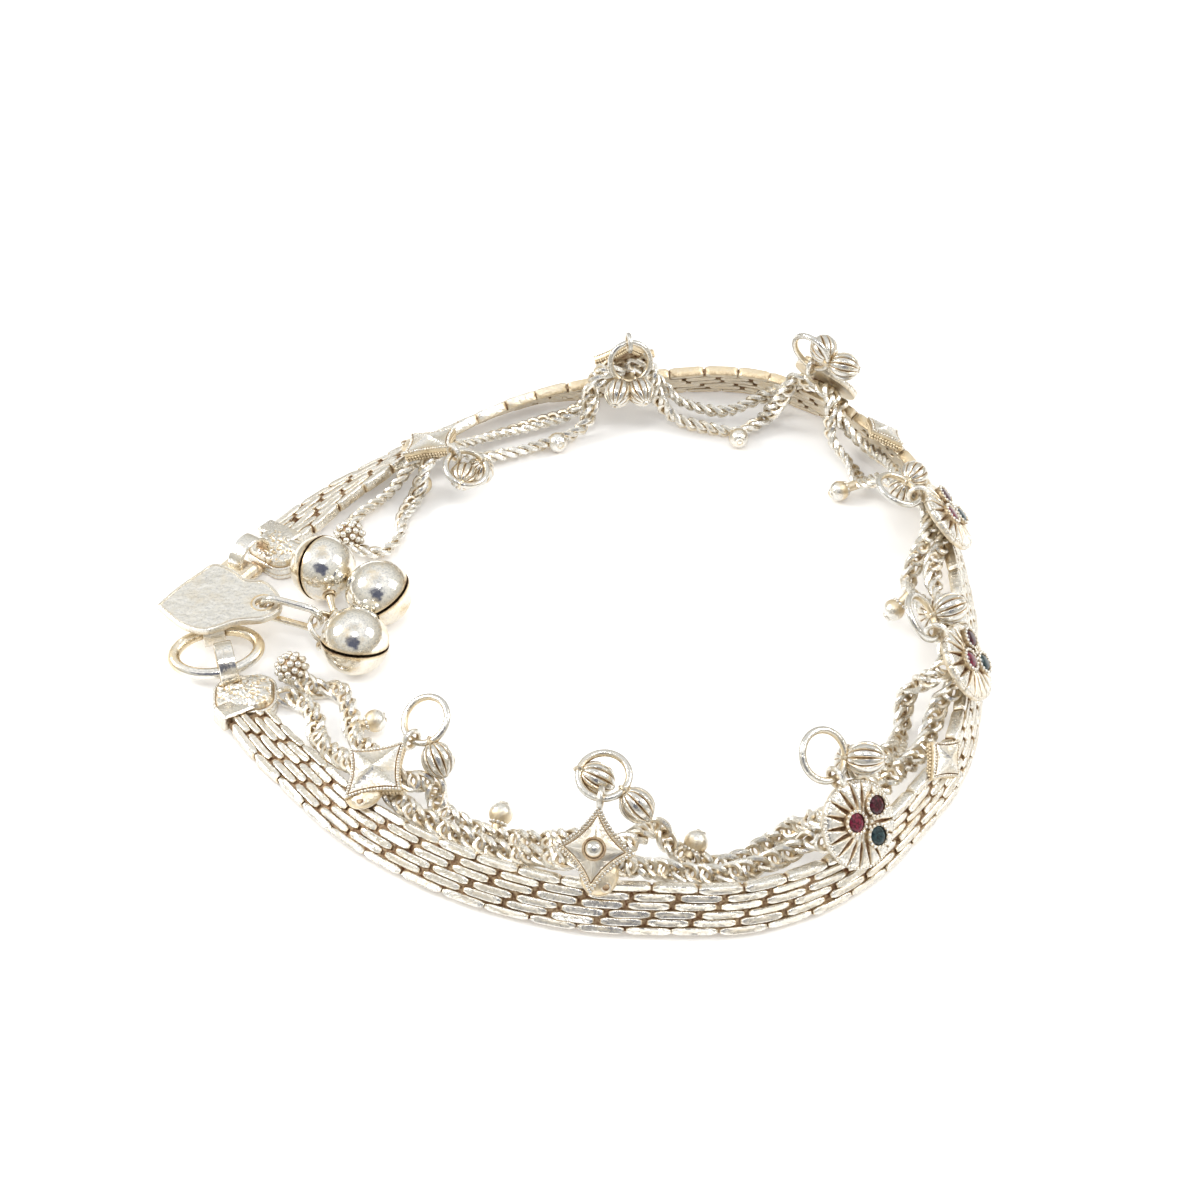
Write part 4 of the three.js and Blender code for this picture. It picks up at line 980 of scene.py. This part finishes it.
def cap_form(which, seed):
    place, to_clasp, band_end, _, _ = CAPS[which]
    cushion = cushion_form(seed).under(plan_matrix(place, to_clasp))
    centre, along, across, face = band_frame(band_end * BAND_LENGTH)
    into = 1 - 2 * band_end
    matrix = matrix_of(along * into, across * into, face, centre)
    # A sleeve of four walls, open where the band goes in, with a dark block inside as painted shade.
    wall_wide, wall_high = 0.55, 0.5
    middle = NECK_OVER - NECK_LONG / 2
    flat = box_form(NECK_LONG, NECK_WIDE, wall_high)
    upright = box_form(NECK_LONG, wall_wide, NECK_HIGH - 0.2)
    sleeve = [flat.at((middle, 0, NECK_LIFT + side * (NECK_HIGH - wall_high) / 2)) for side in (1, -1)]
    sleeve += [upright.at((middle, side * (NECK_WIDE - wall_wide) / 2, NECK_LIFT)) for side in (1, -1)]
    # Painted shade: a dark block fills the sleeve's inside.
    inside = box_form(1.6, NECK_WIDE - 0.6, NECK_HIGH - 0.6).at((-1.4, 0, NECK_LIFT))
    neck = together(together(*sleeve).stained_and_shaded(0.05), inside.stained_and_shaded(1.0))
    whole = together(cushion, neck.under(matrix))
    whole.points[:, 2] = np.maximum(whole.points[:, 2], 0.0)
    return whole


def cap_ring_form(which):
    """A cap's ring, a broad band whose inside is dark. Its axis is square to the way it reaches."""
    _, _, _, place, ring_to = CAPS[which]
    half, inner, bevel = FLAT_WIDTH / 2, FLAT_RADIUS - FLAT_WALL, 0.09
    profile = [(inner, half - bevel, 0.8), (inner + bevel, half, 0.4), (FLAT_RADIUS - bevel, half, 0.1),
               (FLAT_RADIUS, half - bevel, 0.0), (FLAT_RADIUS + 0.02, 0.3, 0.0)]
    profile = [(reach, -along, stain_and_shade) for reach, along, stain_and_shade in profile] + profile[::-1]
    profile += [(inner - 0.02, 0.0, 0.9)]
    loop = circle(64)
    points = [[(-along, x * reach, y * reach) for reach, along, _ in profile] for x, y in loop]
    ring = tube(points, [stain_and_shade for _, _, stain_and_shade in profile] * len(loop))
    ring.faces = flipped(ring.faces)
    return ring.under(plan_matrix(place, ring_to, FLAT_RADIUS))


def clasp_matrix():
    to_hook = unit(CLASP_TO_HOOK)
    x_axis = unit(np.cross(to_hook, UP))
    return matrix_of(x_axis, to_hook, np.cross(x_axis, to_hook), CLASP_PLACE)


def clasp_ring_form():
    ring = ring_form(CLASP_RADIUS, CLASP_WIRE, 72, 14, stretch=(CLASP_STRETCH, 1.0))
    ends = np.abs(ring.points[:, 0]) / (CLASP_RADIUS * CLASP_STRETCH)
    ring.tarnish_and_shade = np.maximum(ring.tarnish_and_shade, 0.5 * smoothstep(0.75, 1.05, ends) * (ring.points[:, 2] > -0.2))
    return ring.under(clasp_matrix())


def heart_outline():
    loop = HEART_OUTLINE + HEART_OUTLINE[:1]
    return np.array([catmull_rom(loop, t) for t in np.linspace(0, 1, 120, endpoint=False)])


def inset(outline, depth):
    """A closed outline in plan moved inwards, square to itself."""
    ahead = closed_run(outline)
    turn = np.sum(outline[:, 0] * np.roll(outline[:, 1], -1) - outline[:, 1] * np.roll(outline[:, 0], -1))
    return outline + np.column_stack([-ahead[:, 1], ahead[:, 0]]) * math.copysign(depth, turn)


def heart_plate():
    """The stamped plate with its hole: two rounded walls, filled between above and below."""
    hole = circle(HOLE_POINTS) * HEART_HOLE_RADIUS + HEART_HOLE
    bevel, low, high = HEART_BEVEL, HEART_LOW, HEART_LOW + HEART_THICK
    levels = [(bevel, low), (0, low + bevel), (0, high - bevel), (bevel * 0.3, high - bevel * 0.3),
              (bevel, high)]
    walls = []
    for loop, sign in ((heart_outline(), 1), (hole, -1)):
        rows = [level(inset(loop, depth * sign), height) for depth, height in levels]
        walls.append(Form(rows, grid_faces(len(rows), len(loop))))
    faces = []
    for row in (0, len(levels) - 1):
        loops = [wall.points.reshape(len(levels), -1, 3)[row] for wall in walls]
        triangles = tessellate_polygon([[Vector(point) for point in loop] for loop in loops])
        faces.append(Form(np.concatenate(loops), triangles))
    plate = together(*walls, *faces)
    plate.tarnish_and_shade = smoothstep(low + 0.5, low, plate.points[:, 2]) * 0.5
    return plate


def closed_wire(outline, height, wire, tarnish_and_shade):
    """A thin wire along a closed outline, level at a height."""
    path = level(outline, height)
    side = np.cross(closed_run(path), UP)
    return tube(swept(path, side, np.broadcast_to(UP, path.shape), circle(6) * wire), tarnish_and_shade)


def heart_border():
    """A raised line just inside the plate's edge, and one round its hole."""
    top = HEART_LOW + HEART_THICK
    edge = inset(heart_outline(), 0.3)
    hole = circle(HOLE_POINTS) * (HEART_HOLE_RADIUS + 0.22) + HEART_HOLE
    return together(closed_wire(edge, top, 0.11, 0.15), closed_wire(hole, top, 0.1, 0.5))


def strip_form(path, side, wide, thick):
    """A strip of sheet that follows a path, as wide as given along one fixed direction."""
    normals = unit(np.cross(unit(np.gradient(path, axis=0)), side))
    bevel = 0.08
    x, y = wide / 2, thick / 2
    section = np.array([(-x, bevel - y), (bevel - x, -y), (x - bevel, -y), (x, bevel - y),
                        (x, y - bevel), (x - bevel, y), (bevel - x, y), (-x, y - bevel)])
    return stacked(swept(path, np.broadcast_to(side, path.shape), normals, section))


def claw_form():
    """The broad open loop under the plate that holds the oval ring."""
    wire = CLASP_PLACE + unit(CLASP_TO_HOOK) * CLASP_RADIUS
    x_axis = unit(CLASP_TO_HOOK * (1, 1, 0))
    middle = CLAW_RADIUS - CLAW_WALL / 2
    angles = np.radians(np.linspace(80, 320, 30))[:, None]
    path = wire + middle * (x_axis * np.cos(angles) + UP * np.sin(angles))
    across = np.cross(x_axis, UP)
    riser = box_form(1.6, CLAW_WIDTH, 0.7).under(matrix_of(x_axis, across, UP, wire + UP * middle))
    return together(strip_form(path, across, CLAW_WIDTH, CLAW_WALL).stained_and_shaded(0.15), riser)


def tongue_form():
    """The tongue under the plate's far side, which goes through the back flat ring."""
    _, _, _, place, ring_to = CAPS["back"]
    tongue = box_form(3.6, 5.8, 1.2, 0.3).at((0, 3.5, 2.2))
    riser = box_form(2.4, 1.4, 1.4, 0.3).at((0, 5.7, 3.2))
    return together(tongue, riser).stained_and_shaded(0.35).under(plan_matrix(place, ring_to))


def heart_hook_form():
    return together(heart_plate(), heart_border(), claw_form(), tongue_form())


# ---- the bells ----

def tag_ring_matrix():
    along = unit(TAG_ALONG)
    z_axis = unit(np.cross(along, UP))
    middle = TAG_START + along * (TAG_RADIUS + TAG_STRAIGHT)
    return matrix_of(along, np.cross(z_axis, along), z_axis, middle)


def tag_ring_form():
    """A long ring: a round one whose two halves are drawn apart."""
    ring = ring_form(TAG_RADIUS, TAG_WIRE, 48, 12)
    centre_x = circle(48)[:, 0].repeat(12)
    ring.points[:, 0] += np.sign(centre_x) * TAG_STRAIGHT * smoothstep(0, 0.08, np.abs(centre_x))
    return ring.under(tag_ring_matrix())


def bell_ring_matrix():
    """The bell ring passes inside the tag ring's far end, and dips away from it."""
    along = unit(TAG_ALONG)
    inside = TAG_WIRE + GAP + BELL_RING_WIRE
    pass_place = TAG_START + along * (2 * (TAG_RADIUS + TAG_STRAIGHT) - inside)
    away = unit(along * (1, 1, 0))
    x_axis = away * math.sqrt(1 - BELL_RING_DIP ** 2) - UP * BELL_RING_DIP
    y_axis = np.cross(UP, away)
    return matrix_of(x_axis, y_axis, np.cross(x_axis, y_axis), pass_place + x_axis * BELL_RING_RADIUS)


def bell_ring_form():
    """A split ring: two close turns of thin wire."""
    turns = [ring_form(BELL_RING_RADIUS, 0.2, 48, 8).at((0, 0, side * 0.17)) for side in (-1, 1)]
    return together(*turns).under(bell_ring_matrix())


def half_bell():
    """One half of a bell above its seam. Its lip rises off the seam on the slit's side, which is +Y."""
    loop = circle(BELL_AROUND)
    inner = BELL_RADIUS - BELL_WALL
    lift = BELL_SLIT_SEEN / 2 * smoothstep(0.0, 0.3, loop[:, 1]) + BELL_SEAM / 2
    climb = np.linspace(0, 1, BELL_UP)
    levels = []
    for reach, shares in ((inner, climb[::-1]), (BELL_RADIUS, climb)):
        low = np.arcsin(lift / reach)
        for share in shares:
            angle = low + (math.pi / 2 - 0.02 - low) * share
            stain_and_shade = 1.0 if reach == inner else 0.75 * (share == 0)
            levels.append(((reach * np.cos(angle))[:, None], reach * np.sin(angle), stain_and_shade))
    return lofted(loop, levels)


def bell_form(place, axis, slit_side, hung):
    centre = np.array(place)
    z_axis = unit(axis)
    y_axis = square_to(slit_side, z_axis)
    half = half_bell()
    # The mirrored half is painted darker all over: painted shade meant for a bell's lower half, along with some
    # tarnish.
    other = half.scaled(1, 1, -1).stained_and_shaded(half.tarnish_and_shade + 0.18)
    other.faces = flipped(half.faces)
    body = together(half, other).under(matrix_of(np.cross(y_axis, z_axis), y_axis, z_axis, centre))
    # The pellet lies loose at the bottom.
    pellet = ball_form(PELLET_RADIUS, 10, 14).stained_and_shaded(1.0)
    pellet = pellet.at(centre - UP * (BELL_RADIUS - BELL_WALL - PELLET_RADIUS))

    ring_x, ring_y, _, ring_centre = bell_ring_matrix()[:3].T
    turn = math.radians(hung)
    on_ring = ring_centre + (ring_x * math.cos(turn) + ring_y * math.sin(turn)) * BELL_RING_RADIUS
    tangent = ring_y * math.cos(turn) - ring_x * math.sin(turn)
    eye = ring_form(BELL_EYE, BELL_EYE_WIRE, 28, 8).under(aim_matrix(tangent, on_ring))
    root = on_ring + square_to(centre - on_ring, tangent) * BELL_EYE
    inward = unit(root - centre)
    seat = centre + inward * (BELL_RADIUS - BELL_WALL / 2)
    neck = rod_form(root, seat, BELL_NECK * 0.8, BELL_NECK * 1.3).stained_and_shaded(0.4)
    washer = ring_form(0.62, 0.16, 24, 6).stained_and_shaded(0.5)
    washer = washer.under(aim_matrix(inward, centre + inward * (BELL_RADIUS + 0.02)))
    return together(body, pellet, eye, neck, washer)


# ---- assembly ----

add_piece("band_weave", band_core(), TARNISHED)
add_piece("band_links", band_links(), LINKS, replaces="band_chain")
for name, seed in CAP_SEEDS.items():
    add_piece(f"{name}_cap_form", cap_form(name, seed), CAST, replaces=f"{name}_cap")
    add_piece(f"{name}_ring_form", cap_ring_form(name), POLISHED, replaces=f"{name}_flat_ring")
add_piece("clasp_ring_form", clasp_ring_form(), POLISHED, replaces="clasp_ring")
add_piece("heart_form", heart_hook_form(), STAMPED, replaces="heart_hook")
add_piece("tag_ring_form", tag_ring_form(), POLISHED, replaces="tag_ring")
add_piece("bell_ring_form", bell_ring_form(), WIRE, replaces="bell_ring")
for name, row in BELLS.items():
    add_piece(f"{name}_form", bell_form(*row), BELL, replaces=name)
for name, (kind, *_) in MOTIFS.items():
    # Boss plates take the darker copy of the cast silver, as painted shade.
    add_piece(f"{name}_form", motif_form(name), SHADED_CAST if kind == "boss" else CAST, replaces=name)
    if kind == "fan":
        for place, (letter, stone, slot) in zip(bezel_places(), STONES):
            form = stone_form(place).under(motif_matrix(name))
            add_piece(f"{name}_stone_{letter}", form, stone, crease=15)
for i, (name, row) in enumerate(zip(STOPS, DROPS), 1):
    add_piece(f"drop_{i}_form", drop_form(name, *row), DROPPED, replaces=f"drop_{i}")
for tier, routes in SWAG_ROUTES.items():
    for i in range(1, len(routes) + 1):
        add_piece(f"{tier}_rope_{i}", swag_form(tier, i), ROPE, replaces=f"{tier}_swag_{i}")


# ---- the studio ----

CAMERA_PLACE = np.array([0.0030, -0.1466, 0.1400])
CAMERA_TARGET = np.array([0.0030, 0.0035, 0.0])
CAMERA_LENS = 57.75
SKY_STRENGTH = 3.0
SKY = [
    (0.0, (0.55, 0.51, 0.44)), (0.3, (0.72, 0.69, 0.62)), (0.5, (0.86, 0.85, 0.81)),
    (0.7, (0.92, 0.92, 0.90)), (0.8, (1.0, 1.0, 1.0)), (0.9, (1.22, 1.22, 1.22)), (1.0, (0.82, 0.82, 0.82)),
]
# The dim patch round the camera: its colour, where its edge lies, and how ragged that is.
PATCH_SHADE = (0.13, 0.14, 0.20)
PATCH_EDGE = (1.02, 1.07)
PATCH_RAGGED, PATCH_NOISE = 0.24, 3.0
FLOOR_HALF, FLOOR_HEIGHT = 1.5, -0.0001


def aim_object(thing, place, target):
    thing.location = place
    thing.rotation_euler = Vector(np.subtract(target, place)).to_track_quat("-Z", "Y").to_euler()


def add_floor():
    mesh = bpy.data.meshes.new("floor")
    corners = np.array([(-1, -1, 0), (1, -1, 0), (1, 1, 0), (-1, 1, 0)]) * FLOOR_HALF
    mesh.from_pydata(corners.tolist(), [], [(0, 1, 2, 3)])
    mesh.materials.append(floor_material())
    floor = add_object("floor", mesh)
    floor.location.z = FLOOR_HEIGHT


def add_area(name, place, size, power, colour):
    """A soft lamp that faces the middle of the floor."""
    light = bpy.data.lights.new(name, "AREA")
    light.shape = "RECTANGLE"
    light.size, light.size_y = size
    light.energy = power
    light.color = colour
    aim_object(add_object(name, light), place, (0, 0, 0))


def set_world():
    """A white tent: brown-grey below, brightest high up, with a dim patch where the camera stands."""
    world = bpy.data.worlds.new("studio")
    bpy.context.scene.world = world
    nodes = Nodes(world, "BACKGROUND")
    way = nodes.add("TexCoord").outputs["Generated"]
    ramp = nodes.add("ValToRGB", Fac=nodes.add("SeparateXYZ", Vector=way).outputs["Z"])
    stops = ramp.color_ramp.elements
    while len(stops) < len(SKY):
        stops.new(0.5)
    for stop, (height, colour) in zip(stops, SKY):
        stop.position = height
        stop.color = opaque(colour, 1 / SKY_STRENGTH)
    facing = nodes.add("VectorMath", operation="DOT_PRODUCT")
    nodes.feed(facing, 0, way)
    nodes.feed(facing, 1, unit(CAMERA_PLACE - CAMERA_TARGET))
    ragged = nodes.noise(PATCH_NOISE, 2.0, place="Generated")
    near = nodes.maths("MULTIPLY_ADD", ragged, PATCH_RAGGED, facing.outputs["Value"])
    sky = nodes.mix(nodes.range(near, *PATCH_EDGE), ramp.outputs[0], opaque(PATCH_SHADE, 1 / SKY_STRENGTH))
    nodes.fill(nodes.shader, Color=sky, Strength=SKY_STRENGTH)


def add_camera():
    data = bpy.data.cameras.new("camera")
    data.sensor_width = 36
    data.lens = CAMERA_LENS
    data.clip_start = 0.005
    camera = add_object("camera", data)
    aim_object(camera, CAMERA_PLACE, CAMERA_TARGET)
    bpy.context.scene.camera = camera


add_floor()
set_world()
add_area("key", (-0.30, 0.02, 0.24), (0.14, 0.14), 0.7, (1.0, 0.99, 0.97))
add_area("side", (0.3, 0.0, 0.25), (0.16, 0.16), 0.5, (1.0, 0.98, 0.95))
add_area("front", (0.003, -0.10, 0.23), (0.05, 0.035), 0.08, (1.0, 1.0, 1.0))
add_camera()
bpy.context.scene.view_settings.view_transform = "Standard"
